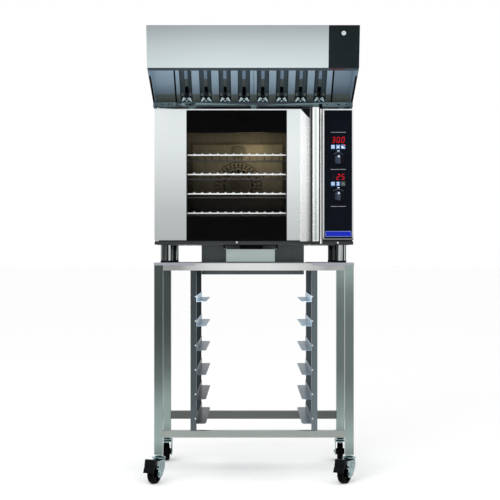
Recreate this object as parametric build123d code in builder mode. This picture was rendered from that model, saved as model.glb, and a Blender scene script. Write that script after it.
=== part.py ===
from build123d import *
import os
import math

os.makedirs("parts", exist_ok=True)

# ---------------------------------------------------------------------------
# Driving dimensions, in millimetres.
# X runs left to right, Y runs from the front to the back, Z is up.
# The positions below are counted from the oven's centre line (X), from the
# outer face of the closed door (Y) and from a line 9.5 mm under the floor (Z).
# OX, OY and FLOOR_Z move the whole assembly so that the origin is the middle of
# its footprint, on the floor.
# ---------------------------------------------------------------------------
OX = 14.135
OY = -167.5
FLOOR_Z = 9.5

HALF_W = 405.0            # half width of the oven and of the stand
SHEET = 1.5               # folded sheet thickness

# stand
LEG = 35.0                # square leg tube
LEG_WALL = 1.5
LEG_BOTTOM = 125.0
LEG_TOP = 901.0
STAND_FRONT = -15.0       # front face of the front legs
STAND_BACK = 529.0        # rear face of the rear legs
PLATE_TOP = 903.0         # face that the oven's feet stand on
RUNNER_PITCH = 99.16
RUNNER_FIRST = 248.0
RUNNERS = 6

# casters
WHEEL_R = 40.0
AXLE_Z = FLOOR_Z + WHEEL_R
TRAIL = 37.0              # offset of the axle from the swivel axis
CASTERS = {
    "fl": (-387.5, 2.5, 25.0),    # swivel axis X, Y and rest angle
    "fr": (387.5, 2.5, 35.0),
    "rl": (-387.5, 511.5, 171.0),
    "rr": (387.5, 511.5, 183.0),
}
BRAKED = ("fl", "fr")
PEDAL_T, PEDAL_Z = 48.0, 79.5     # pivot of the brake pedal, along the trail and up

# oven body
BODY_BOTTOM = 976.0
BODY_TOP = 1533.0
BODY_BACK = 600.0
FRAME_Y = 45.0            # face of the front frame, behind the closed door
FOOT_R = 25.0
FOOT_X = (-360.0, 356.0)
FOOT_Y = (72.0, 493.0)

# cavity
CAV_X0, CAV_X1 = -320.0, 184.0
CAV_Z0, CAV_Z1 = 1016.0, 1483.0
CAV_BACK = 455.0
FAN_X, FAN_Z = -68.0, 1239.0
NECK_Z = 1386.0           # vent neck through the back
BAFFLE_Y = 405.0
RACK_TOP = 1345.7
RACK_PITCH = 80.0
RACK_FRONT, RACK_REAR = 62.0, 392.0
RACK_X0, RACK_X1 = -299.0, 163.0

# door
DOOR_X0, DOOR_X1 = -405.0, 265.0
DOOR_Z0, DOOR_Z1 = 993.8, 1523.5
DOOR_T = 38.0
HEM_TOP = 1528.5
HINGE_X, HINGE_Y = -393.0, 22.0
WIN_X0, WIN_X1 = -272.0, 131.0
WIN_Z0, WIN_Z1 = 1089.0, 1434.0

# control column
PANEL_X0, PANEL_X1 = 286.0, 399.5
PANEL_Z0, PANEL_Z1 = 1001.0, 1523.5
KNOB_X = 344.0
KNOB_Z = (1323.0, 1174.0)
KEY_X = (321.7, 342.5, 363.3)
KEY_Z = (1374.3, 1223.8)

# drip tray
TRAY_X0, TRAY_X1 = -114.0, 86.0
TRAY_Z0, TRAY_Z1 = 906.5, 958.0

# hood
HX = -4.0                 # the hood stands 4 mm left of the oven
HOOD_BOTTOM = 1533.0
HOOD_TOP = 1805.0
HOOD_BACK = 690.0
FASCIA_Y0, FASCIA_Z0 = -315.0, 1649.0    # lower edge
FASCIA_Y1, FASCIA_Z1 = -355.0, 1805.0    # upper edge
HOOD_FLOOR = 1556.0
FILTER_Y0, FILTER_Z0 = 140.0, 1572.0     # low end of the sloped filter bank
FILTER_Y1, FILTER_Z1 = -110.0, 1745.0    # high end
FILTER_X0, FILTER_X1 = -323.0, 320.0


# ---------------------------------------------------------------------------
# Geometry helpers
# ---------------------------------------------------------------------------
def P(x, y, z):
    return (OX + x, OY + y, z - FLOOR_Z)


def block(x0, x1, y0, y1, z0, z1, mode=Mode.ADD):
    """Upright box between two corners."""
    with Locations(P((x0 + x1) / 2, (y0 + y1) / 2, (z0 + z1) / 2)):
        Box(abs(x1 - x0), abs(y1 - y0), abs(z1 - z0), mode=mode)


def tube(x0, x1, y0, y1, z0, z1, along, t):
    """Square tube, open at both ends along one axis."""
    block(x0, x1, y0, y1, z0, z1)
    e = {"x": (0, t, t), "y": (t, 0, t), "z": (t, t, 0)}[along]
    block(x0 + e[0], x1 - e[0], y0 + e[1], y1 - e[1], z0 + e[2], z1 - e[2], Mode.SUBTRACT)


def rod(p, q, r, mode=Mode.ADD):
    """Round bar from one point to another."""
    a, b = Vector(*P(*p)), Vector(*P(*q))
    with Locations(Plane(origin=a, z_dir=b - a)):
        Cylinder(r, (b - a).length, align=(Align.CENTER, Align.CENTER, Align.MIN), mode=mode)


def plane_x(x):
    """Local X is Y, local Y is Z, extrudes towards +X."""
    return Plane(origin=P(x, 0, 0), x_dir=(0, 1, 0), z_dir=(1, 0, 0))


def plane_y(y):
    """Local X is X, local Y is Z, extrudes towards -Y."""
    return Plane(origin=P(0, y, 0), x_dir=(1, 0, 0), z_dir=(0, -1, 0))


def plane_z(z):
    return Plane(origin=P(0, 0, z))


def prism(plane, pts, depth, mode=Mode.ADD):
    with BuildSketch(plane) as sk:
        with BuildLine():
            Polyline(*pts, close=True)
        make_face()
    extrude(sk.sketch, amount=depth, mode=mode)


def finish(builder, label):
    builder.part.label = label
    export_step(builder.part, "parts/%s.step" % label)


# ---------------------------------------------------------------------------
# Stand
# ---------------------------------------------------------------------------
IN = HALF_W - LEG
with BuildPart() as stand_legs:
    for sx in (-1, 1):
        for y0 in (STAND_FRONT, STAND_BACK - LEG):
            xa, xb = sorted((sx * IN, sx * HALF_W))
            tube(xa, xb, y0, y0 + LEG, LEG_BOTTOM, LEG_TOP, "z", LEG_WALL)
finish(stand_legs, "stand_legs")

with BuildPart() as stand_rails:
    # top rails
    tube(-IN, IN, -13, 17, 871, 901, "x", 1.5)
    tube(-IN, IN, 496, 526, 871, 901, "x", 1.5)
    tube(-402.5, -372.5, 20, 494, 871, 901, "y", 1.5)
    tube(372.5, 402.5, 20, 494, 871, 901, "y", 1.5)
    # lower rails
    tube(-IN, IN, -13, 15, 192.5, 220.5, "x", 1.5)
    tube(-IN, IN, 496, 524, 202, 237, "x", 1.5)
    # folded corner plates that carry the oven's feet
    for sx in (-1, 1):
        for front in (True, False):
            xa, xb = sorted((sx * 234.0, sx * 406.5))
            ya, yb = (-16.7, 112.0) if front else (430.0, 530.7)
            block(xa, xb, ya, yb, 901, PLATE_TOP)
            r = 7.0
            lip = [(sx * 406.5, 901), (sx * 234.0, 901), (sx * 234.0, 892 + r)]
            for k in range(1, 5):
                a = math.radians(22.5 * k)
                lip.append((sx * (234.0 + r - r * math.cos(a)), 892 + r - r * math.sin(a)))
            lip.append((sx * 406.5, 892))
            if front:
                prism(plane_y(-15.2), lip, 1.5)
            else:
                prism(plane_y(530.7), lip, 1.5)
            xs = sorted((sx * 405.2, sx * 406.5))
            block(xs[0], xs[1], ya, yb, 892, 901)
finish(stand_rails, "stand_rails")

with BuildPart() as runner_uprights:
    for sx in (-1, 1):
        xa, xb = sorted((sx * 234.0, sx * 258.0))
        tube(xa, xb, -8, 16, 220.5, 871, "z", 1.5)
        tube(xa, xb, 498, 522, 237, 871, "z", 1.5)
finish(runner_uprights, "runner_uprights")

with BuildPart() as tray_runners:
    for k in range(RUNNERS):
        z = RUNNER_FIRST + RUNNER_PITCH * k
        for sx in (-1, 1):
            flange = [(234, -8), (205, -8), (195, 7), (195, 526), (205, 540), (234, 540)]
            prism(plane_z(z), [(sx * x, y) for x, y in flange], SHEET)
            xa, xb = sorted((sx * 234.0, sx * 232.5))
            block(xa, xb, -8, 540, z + SHEET, z + 25)
finish(tray_runners, "tray_runners")

# ---------------------------------------------------------------------------
# Casters: stems, forks with axle bolts, wheels and brake pedals
# ---------------------------------------------------------------------------
with BuildPart() as caster_stems:
    for cx, cy, ang in CASTERS.values():
        block(cx - 15.9, cx + 15.9, cy - 15.9, cy + 15.9, 125, 160)
        block(cx - 17.5, cx + 17.5, cy - 17.5, cy + 17.5, 122, 125)
        with BuildSketch(plane_z(117)) as hexa:
            with Locations((cx, cy)):
                RegularPolygon(7.5, 6)
        extrude(hexa.sketch, amount=5)
        # raceway cup
        with BuildSketch(Plane(origin=P(cx, cy, 0), x_dir=(1, 0, 0), z_dir=(0, -1, 0))) as cup:
            with BuildLine():
                Polyline((0, 103.6), (20.5, 103.6), (28, 109.6), (28, 111.2), (23, 114.2), (12, 117.5), (0, 117.5), close=True)
            make_face()
        revolve(cup.sketch, axis=Axis(P(cx, cy, 0), (0, 0, 1)), revolution_arc=360)
        rod((cx, cy, 96), (cx, cy, 106), 5.0)
        rod((cx, cy, 93.5), (cx, cy, 98.6), 8.0)
finish(caster_stems, "caster_stems")


def caster_plane(key, off):
    """Upright plane through a caster: local X runs along the trail, local Y is Z,
    and it extrudes along the axle."""
    cx, cy, ang = CASTERS[key]
    a = math.radians(ang)
    tx, ty = -math.sin(a), -math.cos(a)
    nx, ny = ty, -tx
    return Plane(origin=P(cx + nx * off, cy + ny * off, 0), x_dir=(tx, ty, 0), z_dir=(nx, ny, 0))


def caster_point(key, t, a_off, z):
    cx, cy, ang = CASTERS[key]
    a = math.radians(ang)
    tx, ty = -math.sin(a), -math.cos(a)
    nx, ny = ty, -tx
    return (cx + tx * t + nx * a_off, cy + ty * t + ny * a_off, z)


FORK_SIDE = [(-12, 102.5), (48, 102.5), (54, 90), (55.5, 80), (54, 72), (48, 69.5), (43.5, 66), (47, 56),
             (47, 46), (43, 38), (36, 33.5), (24, 33.5), (14, 38), (6, 46), (-6, 66), (-11, 76)]

for key in CASTERS:
    cx, cy, ang = CASTERS[key]
    with BuildPart() as fork:
        # crown plate, longer towards the wheel
        tx, ty = -math.sin(math.radians(ang)), -math.cos(math.radians(ang))
        with BuildSketch(Plane(origin=P(cx, cy, 99), x_dir=(tx, ty, 0), z_dir=(0, 0, 1))) as crown:
            Circle(26)
            with Locations((23.5, 0)):
                Rectangle(47, 46)
        extrude(crown.sketch, amount=3.5)
        for off in (-23.0, 20.0):
            with BuildSketch(caster_plane(key, off)) as side:
                with BuildLine():
                    Polyline(*FORK_SIDE, close=True)
                make_face()
                with Locations((TRAIL, AXLE_Z)):
                    Circle(4.05, mode=Mode.SUBTRACT)
                if key in BRAKED:
                    with Locations((PEDAL_T, PEDAL_Z)):
                        Circle(2.55, mode=Mode.SUBTRACT)
            extrude(side.sketch, amount=3.0)
        rod((cx, cy, 98), (cx, cy, 103), 5.05, Mode.SUBTRACT)
        # axle bolt with its head and nut, a separate piece
        rod(caster_point(key, TRAIL, -26, AXLE_Z), caster_point(key, TRAIL, 26, AXLE_Z), 4.0)
        for s in (-1, 1):
            rod(caster_point(key, TRAIL, s * 23.05, AXLE_Z), caster_point(key, TRAIL, s * 27.5, AXLE_Z), 7.0)
    finish(fork, "caster_fork_" + key)

    with BuildPart() as wheel:
        rod(caster_point(key, TRAIL, -13, AXLE_Z), caster_point(key, TRAIL, 13, AXLE_Z), WHEEL_R)
        fillet(wheel.edges().filter_by(GeomType.CIRCLE), 6.0)
        for s in (-1, 1):
            rod(caster_point(key, TRAIL, s * 7, AXLE_Z), caster_point(key, TRAIL, s * 13.5, AXLE_Z), 29.0, Mode.SUBTRACT)
        rod(caster_point(key, TRAIL, -19, AXLE_Z), caster_point(key, TRAIL, 19, AXLE_Z), 14.0)
        rod(caster_point(key, TRAIL, -20, AXLE_Z), caster_point(key, TRAIL, 20, AXLE_Z), 4.05, Mode.SUBTRACT)
    finish(wheel, "caster_wheel_" + key)

    if key in BRAKED:
        with BuildPart() as pedal:
            # tread plate that hangs in front of the wheel
            with BuildSketch(caster_plane(key, -23.0)) as plate:
                with BuildLine():
                    Polyline((56, 100), (56, 107.5), (63, 110.8), (70.5, 110.8), (72.5, 109), (77.5, 87), (75.5, 84.5),
                             (79, 80.5), (88, 61), (88, 58.5), (84, 58), (80, 66), (72, 78), (66, 86), (58, 96), close=True)
                make_face()
            extrude(plate.sketch, amount=46.0)
            # brake shoe in front of the tyre
            with BuildSketch(caster_plane(key, -11.0)) as shoe:
                with BuildLine():
                    Polyline((64, 90), (74, 78), (70, 75.5), (68.5, 75.5), (62, 84.5), close=True)
                make_face()
            extrude(shoe.sketch, amount=22.0)
            # cheeks beside the tyre, with the pins that turn in the fork's sides
            for off in (-18.0, 15.0):
                with BuildSketch(caster_plane(key, off)) as cheek:
                    with BuildLine():
                        Polyline((43, 75), (48, 72.5), (56, 74), (72, 84), (70, 104), (60, 105), (50, 92), (43, 85), close=True)
                    make_face()
                extrude(cheek.sketch, amount=3.0)
            for sgn in (-1, 1):
                rod(caster_point(key, PEDAL_T, sgn * 15.5, PEDAL_Z), caster_point(key, PEDAL_T, sgn * 25.2, PEDAL_Z), 2.5)
                rod(caster_point(key, PEDAL_T, sgn * 23.3, PEDAL_Z), caster_point(key, PEDAL_T, sgn * 25.2, PEDAL_Z), 4.2)
        finish(pedal, "caster_pedal_" + key)

# ---------------------------------------------------------------------------
# Oven body
# ---------------------------------------------------------------------------
with BuildPart() as oven_feet:
    for x in FOOT_X:
        for fy in FOOT_Y:
            rod((x, fy, 911), (x, fy, 974), FOOT_R)
            rod((x, fy, 910), (x, fy, 972), FOOT_R - 2, Mode.SUBTRACT)
            rod((x, fy, 974), (x, fy, 976), FOOT_R + 0.8)
            rod((x, fy, PLATE_TOP), (x, fy, 911), FOOT_R + 0.5)
finish(oven_feet, "oven_feet")

with BuildPart() as oven_base:
    block(-403.5, 403.5, 46, 598.5, 976, 977.5)
    # front drip gutter under the door
    block(-HALF_W, HALF_W, 8, 46, 976, 977.5)
    block(-HALF_W, HALF_W, 8, 9.5, 976, 990)
    block(267.5, 280.5, 7, 10, 979, 991, Mode.SUBTRACT)
    block(-HALF_W, -403.5, 8, 45, 976, 986)
    block(403.5, HALF_W, 8, 45, 976, 990)
    # rails that carry the drip tray
    for x_web, x_lip in ((-127.0, -115.5), (99.0, 87.5)):
        s = 1 if x_lip > x_web else -1
        xa, xb = sorted((x_web, x_web + s * 1.5))
        block(xa, xb, 48, 460, 956.1, 976)
        xa, xb = sorted((x_web, x_lip))
        block(xa, xb, 48, 460, 956.1, 957.6)
    # stop behind the tray
    block(-60, 40, 458.5, 460, 946, 976)
finish(oven_base, "oven_base")

with BuildPart() as oven_case:
    block(-HALF_W, -403.5, 47, BODY_BACK, BODY_BOTTOM, BODY_TOP)
    block(403.5, HALF_W, 47, BODY_BACK, BODY_BOTTOM, BODY_TOP)
    block(-403.4, 403.4, 47, BODY_BACK, BODY_TOP - 1.5, BODY_TOP)
    # back panel with its louvres and its cable gland
    block(-403.4, 403.4, 598.5, 600, 977.6, NECK_Z - 60.1)
    block(-403.4, FAN_X - 60.1, 598.5, 600, NECK_Z - 60, BODY_TOP - 1.6)
    block(FAN_X - 60, FAN_X + 60, 598.5, 600, NECK_Z - 60, BODY_TOP - 1.6)
    block(FAN_X + 60.1, 403.4, 598.5, 600, NECK_Z - 60, BODY_TOP - 1.6)
    for x0 in (-380.0, 300.0):
        for k in range(9):
            block(x0, x0 + 80, 598, 600.5, 1060 + 22 * k, 1065 + 22 * k, Mode.SUBTRACT)
    rod((FAN_X, 597, NECK_Z), (FAN_X, 601, NECK_Z), 27.0, Mode.SUBTRACT)
    rod((340, 598.5, 1010), (340, 612, 1010), 14.0)
    rod((340, 597, 1010), (340, 613, 1010), 8.0, Mode.SUBTRACT)
finish(oven_case, "oven_case")

with BuildPart() as front_frame:
    block(-403.5, 403.5, FRAME_Y, FRAME_Y + 2, 977.5, BODY_TOP - 1.5)
    block(CAV_X0, CAV_X1, FRAME_Y - 1, FRAME_Y + 3, CAV_Z0, CAV_Z1, Mode.SUBTRACT)
    block(292, 394, FRAME_Y - 1, FRAME_Y + 3, 1010, 1515, Mode.SUBTRACT)
finish(front_frame, "front_frame")

# panels spot-welded at their seams; the vent neck has its own small plate
with BuildPart() as cavity_liner:
    # sides, each with its front flange
    block(CAV_X0 - 1, CAV_X0, 47, CAV_BACK + 1, CAV_Z0 - 1, CAV_Z1 + 1)
    block(CAV_X0 - 16, CAV_X0 - 1, 47, 48, 1000, 1499)
    block(CAV_X1, CAV_X1 + 1, 47, CAV_BACK + 1, CAV_Z0 - 1, CAV_Z1 + 1)
    block(CAV_X1 + 1, CAV_X1 + 16, 47, 48, 1000, 1499)
    rod((183, 130, 1430), (186, 130, 1430), 20.2, Mode.SUBTRACT)
    # floor and roof, each with its front flange
    block(CAV_X0 + 0.1, CAV_X1 - 0.1, 47, CAV_BACK + 1, CAV_Z0 - 1, CAV_Z0)
    block(CAV_X0 + 0.1, CAV_X1 - 0.1, 47, 48, 1000, CAV_Z0 - 1)
    block(CAV_X0 + 0.1, CAV_X1 - 0.1, 47, CAV_BACK + 1, CAV_Z1, CAV_Z1 + 1)
    block(CAV_X0 + 0.1, CAV_X1 - 0.1, 47, 48, CAV_Z1 + 1, 1499)
    # back, with the vent neck behind the baffle's vent cover
    block(CAV_X0 + 0.1, CAV_X1 - 0.1, CAV_BACK, CAV_BACK + 1, CAV_Z0 + 0.1, NECK_Z - 60.1)
    block(CAV_X0 + 0.1, FAN_X - 60.1, CAV_BACK, CAV_BACK + 1, NECK_Z - 60, CAV_Z1 - 0.1)
    block(FAN_X - 60, FAN_X + 60, CAV_BACK, CAV_BACK + 1, NECK_Z - 60, CAV_Z1 - 0.1)
    block(FAN_X + 60.1, CAV_X1 - 0.1, CAV_BACK, CAV_BACK + 1, NECK_Z - 60, CAV_Z1 - 0.1)
    rod((FAN_X, 454, FAN_Z), (FAN_X, 457, FAN_Z), 14.0, Mode.SUBTRACT)
    for sx in (-1, 1):
        rod((FAN_X + sx * 125, 454, FAN_Z), (FAN_X + sx * 125, 457, FAN_Z), 4.3, Mode.SUBTRACT)
    rod((FAN_X, 455, NECK_Z), (FAN_X, 598, NECK_Z), 26.0)
    rod((FAN_X, 454, NECK_Z), (FAN_X, 599, NECK_Z), 25.0, Mode.SUBTRACT)
finish(cavity_liner, "cavity_liner")

with BuildPart() as insulation:
    block(-346, 210, 50, 455, 990, 1509)
    block(CAV_X0 - 1.5, CAV_X1 + 1.5, 49, 456, CAV_Z0 - 1.5, CAV_Z1 + 1.5, Mode.SUBTRACT)
    block(-346, 210, 456.5, 480, 990, 1509)
    rod((FAN_X, 456, FAN_Z), (FAN_X, 481, FAN_Z), 16.0, Mode.SUBTRACT)
    for sx in (-1, 1):
        rod((FAN_X + sx * 125, 456, FAN_Z), (FAN_X + sx * 125, 481, FAN_Z), 8.0, Mode.SUBTRACT)
        for sz in (-1, 1):
            rod((FAN_X + sx * 60, 456, FAN_Z + sz * 60), (FAN_X + sx * 60, 481, FAN_Z + sz * 60), 4.5, Mode.SUBTRACT)
    rod((FAN_X, 456, NECK_Z), (FAN_X, 481, NECK_Z), 26.3, Mode.SUBTRACT)
    block(185, 211, 98, 162, 1398, 1462, Mode.SUBTRACT)
finish(insulation, "insulation")

with BuildPart() as door_seal:
    block(-338, 202, 38.3, FRAME_Y, 998, 1501)
    block(-326, 190, 37, 46, 1010, 1489, Mode.SUBTRACT)
finish(door_seal, "door_seal")

with BuildPart() as fan_baffle:
    bx0, bx1, bz0, bz1 = -268.0, 126.0, 1059.0, 1419.0
    block(bx0, bx1, BAFFLE_Y, BAFFLE_Y + 22, bz0, bz1)
    block(bx0 + 1.5, bx1 - 1.5, BAFFLE_Y + 1.5, BAFFLE_Y + 23, bz0 + 1.5, bz1 - 1.5, Mode.SUBTRACT)
    # pressed rim of the guard
    with BuildSketch(plane_y(BAFFLE_Y)) as rim:
        with Locations((FAN_X, FAN_Z)):
            Circle(104)
            Circle(100, mode=Mode.SUBTRACT)
    extrude(rim.sketch, amount=2.0)
    # guard: slots outside, round holes between, narrow slots round the middle
    with BuildSketch(plane_y(BAFFLE_Y + 3)) as guard:
        with Locations((FAN_X, FAN_Z)):
            with PolarLocations(90, 32):
                Rectangle(12, 6.5)
            with PolarLocations(62, 16):
                Circle(8.5)
            with PolarLocations(29, 20):
                Rectangle(24, 3.2)
    extrude(guard.sketch, amount=6, mode=Mode.SUBTRACT)
    # round vent cover above the fan
    rod((FAN_X, 401.5, NECK_Z), (FAN_X, 405, NECK_Z), 37.0)
    for sx in (-1, 1):
        for sz in (-1, 1):
            rod((-71 + sx * 180, BAFFLE_Y + 1, 1239 + sz * 162), (-71 + sx * 180, CAV_BACK, 1239 + sz * 162), 5.0)
finish(fan_baffle, "fan_baffle")

with BuildPart() as heating_element:
    # two turns, joined by feed blocks that carry the leads
    with BuildSketch(Plane(origin=P(FAN_X, 0, FAN_Z), x_dir=(0, 0, 1), z_dir=(1, 0, 0))) as turns:
        for y in (424.0, 440.0):
            with Locations((125, -y)):
                Circle(4)
    revolve(turns.sketch, axis=Axis(P(FAN_X, 0, FAN_Z), (0, 1, 0)), revolution_arc=360)
    for sx in (-1, 1):
        block(FAN_X + sx * 125 - 3.5, FAN_X + sx * 125 + 3.5, 420, 448, FAN_Z - 3.5, FAN_Z + 3.5)
        rod((FAN_X + sx * 125, 448, FAN_Z), (FAN_X + sx * 125, 476, FAN_Z), 3.0)
finish(heating_element, "heating_element")

with BuildPart() as fan_motor:
    rod((FAN_X, 482, FAN_Z), (FAN_X, 560, FAN_Z), 52.0)
    rod((FAN_X, 560, FAN_Z), (FAN_X, 566, FAN_Z), 30.0)
    block(FAN_X - 72, FAN_X + 72, 480.5, 482, FAN_Z - 72, FAN_Z + 72)
    rod((FAN_X, 409, FAN_Z), (FAN_X, 482, FAN_Z), 5.0)
    for sx in (-1, 1):
        for sz in (-1, 1):
            rod((FAN_X + sx * 60, 456, FAN_Z + sz * 60), (FAN_X + sx * 60, 481, FAN_Z + sz * 60), 4.0)
finish(fan_motor, "fan_motor")

with BuildPart() as fan_rotor:
    rod((FAN_X, 446, FAN_Z), (FAN_X, 447.5, FAN_Z), 92.0)
    rod((FAN_X, 412, FAN_Z), (FAN_X, 413.5, FAN_Z), 92.0)
    rod((FAN_X, 411, FAN_Z), (FAN_X, 414, FAN_Z), 66.0, Mode.SUBTRACT)
    rod((FAN_X, 420, FAN_Z), (FAN_X, 447.5, FAN_Z), 14.0)
    with BuildSketch(plane_y(446)) as blades:
        with Locations((FAN_X, FAN_Z)):
            with PolarLocations(67, 14):
                Rectangle(40, 1.6, rotation=35)
    extrude(blades.sketch, amount=33)
    rod((FAN_X, 408, FAN_Z), (FAN_X, 449, FAN_Z), 5.05, Mode.SUBTRACT)
finish(fan_rotor, "fan_rotor")

with BuildPart() as oven_lamp:
    rod((178, 130, 1430), (184, 130, 1430), 27.0)
    fillet(oven_lamp.edges().filter_by(GeomType.CIRCLE).sort_by(Axis.X)[0], 5.0)
    rod((184, 130, 1430), (204, 130, 1430), 20.0)
    rod((204, 130, 1430), (212, 130, 1430), 12.0)
finish(oven_lamp, "oven_lamp")

with BuildPart() as side_racks:
    for sx, xv, xr, xw in ((-1, -311.0, -303.0, CAV_X0), (1, 175.0, 167.0, CAV_X1)):
        for y in (92.0, 362.0):
            rod((xv, y, 1040), (xv, y, 1446), 3.0)
            for z in (1050.0, 1436.0):
                rod((xv, y, z), (xw, y, z), 3.0)
            for k in range(4):
                for dz in (-6.4, 14.0):
                    z = RACK_TOP - RACK_PITCH * k + dz
                    rod((xv, y, z), (xr, y, z), 2.5)
        for k in range(4):
            for dz in (-6.4, 14.0):
                z = RACK_TOP - RACK_PITCH * k + dz
                rod((xr, 64, z), (xr, 396, z), 3.0)
finish(side_racks, "side_racks")

for k in range(4):
    z = RACK_TOP - RACK_PITCH * k
    shift = 0.0 if k == 0 else -4.3
    with BuildPart() as rack:
        # bent border wire with its four rounded corners
        for xa, ya, xb, yb in ((RACK_X0 + 8, RACK_FRONT, RACK_X1 - 8, RACK_FRONT),
                               (RACK_X0 + 8, RACK_REAR, RACK_X1 - 8, RACK_REAR),
                               (RACK_X0, RACK_FRONT + 8, RACK_X0, RACK_REAR - 8),
                               (RACK_X1, RACK_FRONT + 8, RACK_X1, RACK_REAR - 8)):
            rod((xa, ya, z), (xb, yb, z), 3.0)
        for x, sx in ((RACK_X0 + 8, -1), (RACK_X1 - 8, 1)):
            for y, sy in ((RACK_FRONT + 8, -1), (RACK_REAR - 8, 1)):
                with BuildSketch(Plane(origin=P(x, y, z), x_dir=(sx, 0, 0), z_dir=(0, -1, 0))) as bend:
                    with Locations((8, 0)):
                        Circle(3.0)
                revolve(bend.sketch, axis=Axis(P(x, y, z), (0, 0, 1)), revolution_arc=90 * sx * sy)
        for i in range(-1, 13):
            x = -244.3 + shift + 32.25 * i
            rod((x, RACK_FRONT - 2.6, z + 4.2), (x, RACK_REAR + 2.6, z + 4.2), 1.9)
    finish(rack, "wire_rack_%d" % (k + 1))

with BuildPart() as hinge_brackets:
    block(-403.4, -372, 12, 45, 986.5, 990)
    rod((HINGE_X, HINGE_Y, 989), (HINGE_X, HINGE_Y, 1005), 4.0)
    rod((HINGE_X, HINGE_Y, 990), (HINGE_X, HINGE_Y, 993.4), 7.0)
    rod((HINGE_X, HINGE_Y, 982), (HINGE_X, HINGE_Y, 986.5), 7.0)
    # upper bracket, tapering towards the right
    prism(plane_z(1529), [(-403.4, 8), (-380, 6), (-323, 28), (-323, 45), (-403.4, 45)], 2.5)
    rod((HINGE_X, HINGE_Y, 1512), (HINGE_X, HINGE_Y, 1530), 4.0)
    rod((HINGE_X, HINGE_Y, 1531.5), (HINGE_X, HINGE_Y, 1536), 7.0)
finish(hinge_brackets, "hinge_brackets")

with BuildPart() as control_housing:
    block(280, 405, 0, 45, 995, HEM_TOP)
    block(281.5, 403.5, 1.5, 46, 996.5, 1527, Mode.SUBTRACT)
    block(PANEL_X0, PANEL_X1, -1, 2, PANEL_Z0, PANEL_Z1, Mode.SUBTRACT)
    # ledge that holds the glass
    for xa, xb, za, zb in ((281.5, 290, 996.5, 1527), (395.5, 403.5, 996.5, 1527), (290, 395.5, 996.5, 1005), (290, 395.5, 1519.5, 1527)):
        block(xa, xb, 4.8, 6.3, za, zb)
    # rounded trim between the door and the control column, and its groove
    block(268.5, 275.5, 8, 45, 980, HEM_TOP)
    rod((272, 8, 980), (272, 8, HEM_TOP), 3.5)
    block(275.5, 280, 25, 45, 980, HEM_TOP)
    block(266.8, 277.5, 3, 16, 1506, HEM_TOP)
    block(279.9, 281.6, 25, 45, 995, HEM_TOP)
finish(control_housing, "control_housing")

with BuildPart() as control_glass:
    block(PANEL_X0, PANEL_X1, 0.8, 4.8, PANEL_Z0, PANEL_Z1)
    for z in KNOB_Z:
        rod((KNOB_X, 0, z), (KNOB_X, 6, z), 5.0, Mode.SUBTRACT)
    for z in KEY_Z:
        for x in KEY_X:
            block(x - 8.6, x + 8.6, 0, 6, z - 9.4, z + 9.4, Mode.SUBTRACT)
finish(control_glass, "control_glass")

with BuildPart() as control_board:
    block(296, 390, 14, 15.6, 1130, 1440)
    block(316, 370, 8, 14, 1389, 1418)
    block(316, 370, 8, 14, 1237, 1266)
    for z in KNOB_Z:
        block(KNOB_X - 8, KNOB_X + 8, 7.5, 14, z - 8, z + 8)
        rod((KNOB_X, -12, z), (KNOB_X, 8, z), 3.0)
    for z in KEY_Z:
        for x in KEY_X:
            block(x - 3, x + 3, 7.6, 14, z - 3, z + 3)
    for x in (300, 386):
        for z in (1135, 1435):
            rod((x, 4.8, z), (x, 14, z), 3.0)
finish(control_board, "control_board")

for name, z in (("knob_temperature", KNOB_Z[0]), ("knob_timer", KNOB_Z[1])):
    with BuildPart() as knob:
        # skirt and grip bar
        rod((KNOB_X, 0.3, z), (KNOB_X, -6, z), 23.0)
        fillet(knob.edges().filter_by(GeomType.CIRCLE).sort_by(Axis.Y)[0], 1.5)
        with BuildSketch(plane_y(-5.9)) as bar:
            with Locations((KNOB_X, z)):
                RectangleRounded(23, 42, 8)
        extrude(bar.sketch, amount=16.1)
        rod((KNOB_X, -12.4, z), (KNOB_X, 1, z), 3.05, Mode.SUBTRACT)
    finish(knob, name)

n = 0
for z in KEY_Z:
    for x in KEY_X:
        n += 1
        with BuildPart() as key:
            block(x - 8.3, x + 8.3, -1.0, 6.3, z - 9.1, z + 9.1)
            fillet(key.edges().group_by(Axis.Y)[0], 0.8)
            block(x - 9.4, x + 9.4, 5.1, 6.3, z - 10.2, z + 10.2)
        finish(key, "key_%d" % n)

with BuildPart() as drip_tray:
    block(TRAY_X0, TRAY_X1, 50, 450, TRAY_Z0, TRAY_Z1)
    block(TRAY_X0 + 1.2, TRAY_X1 - 1.2, 51.2, 448.8, TRAY_Z0 + 1.2, TRAY_Z1 + 1, Mode.SUBTRACT)
    block(TRAY_X0 - 10, TRAY_X0 + 1.2, 50, 450, TRAY_Z1, TRAY_Z1 + 1.4)
    block(TRAY_X1 - 1.2, TRAY_X1 + 10, 50, 450, TRAY_Z1, TRAY_Z1 + 1.4)
    # folded front lip
    block(TRAY_X0, TRAY_X1, 46, 50, TRAY_Z1 - 4, TRAY_Z1 - 2.8)
    block(TRAY_X0, TRAY_X1, 46, 47.2, TRAY_Z0, TRAY_Z1 - 4)
    block(TRAY_X0, TRAY_X1, 46, 50, TRAY_Z0, TRAY_Z0 + 1.2)
finish(drip_tray, "drip_tray")

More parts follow.
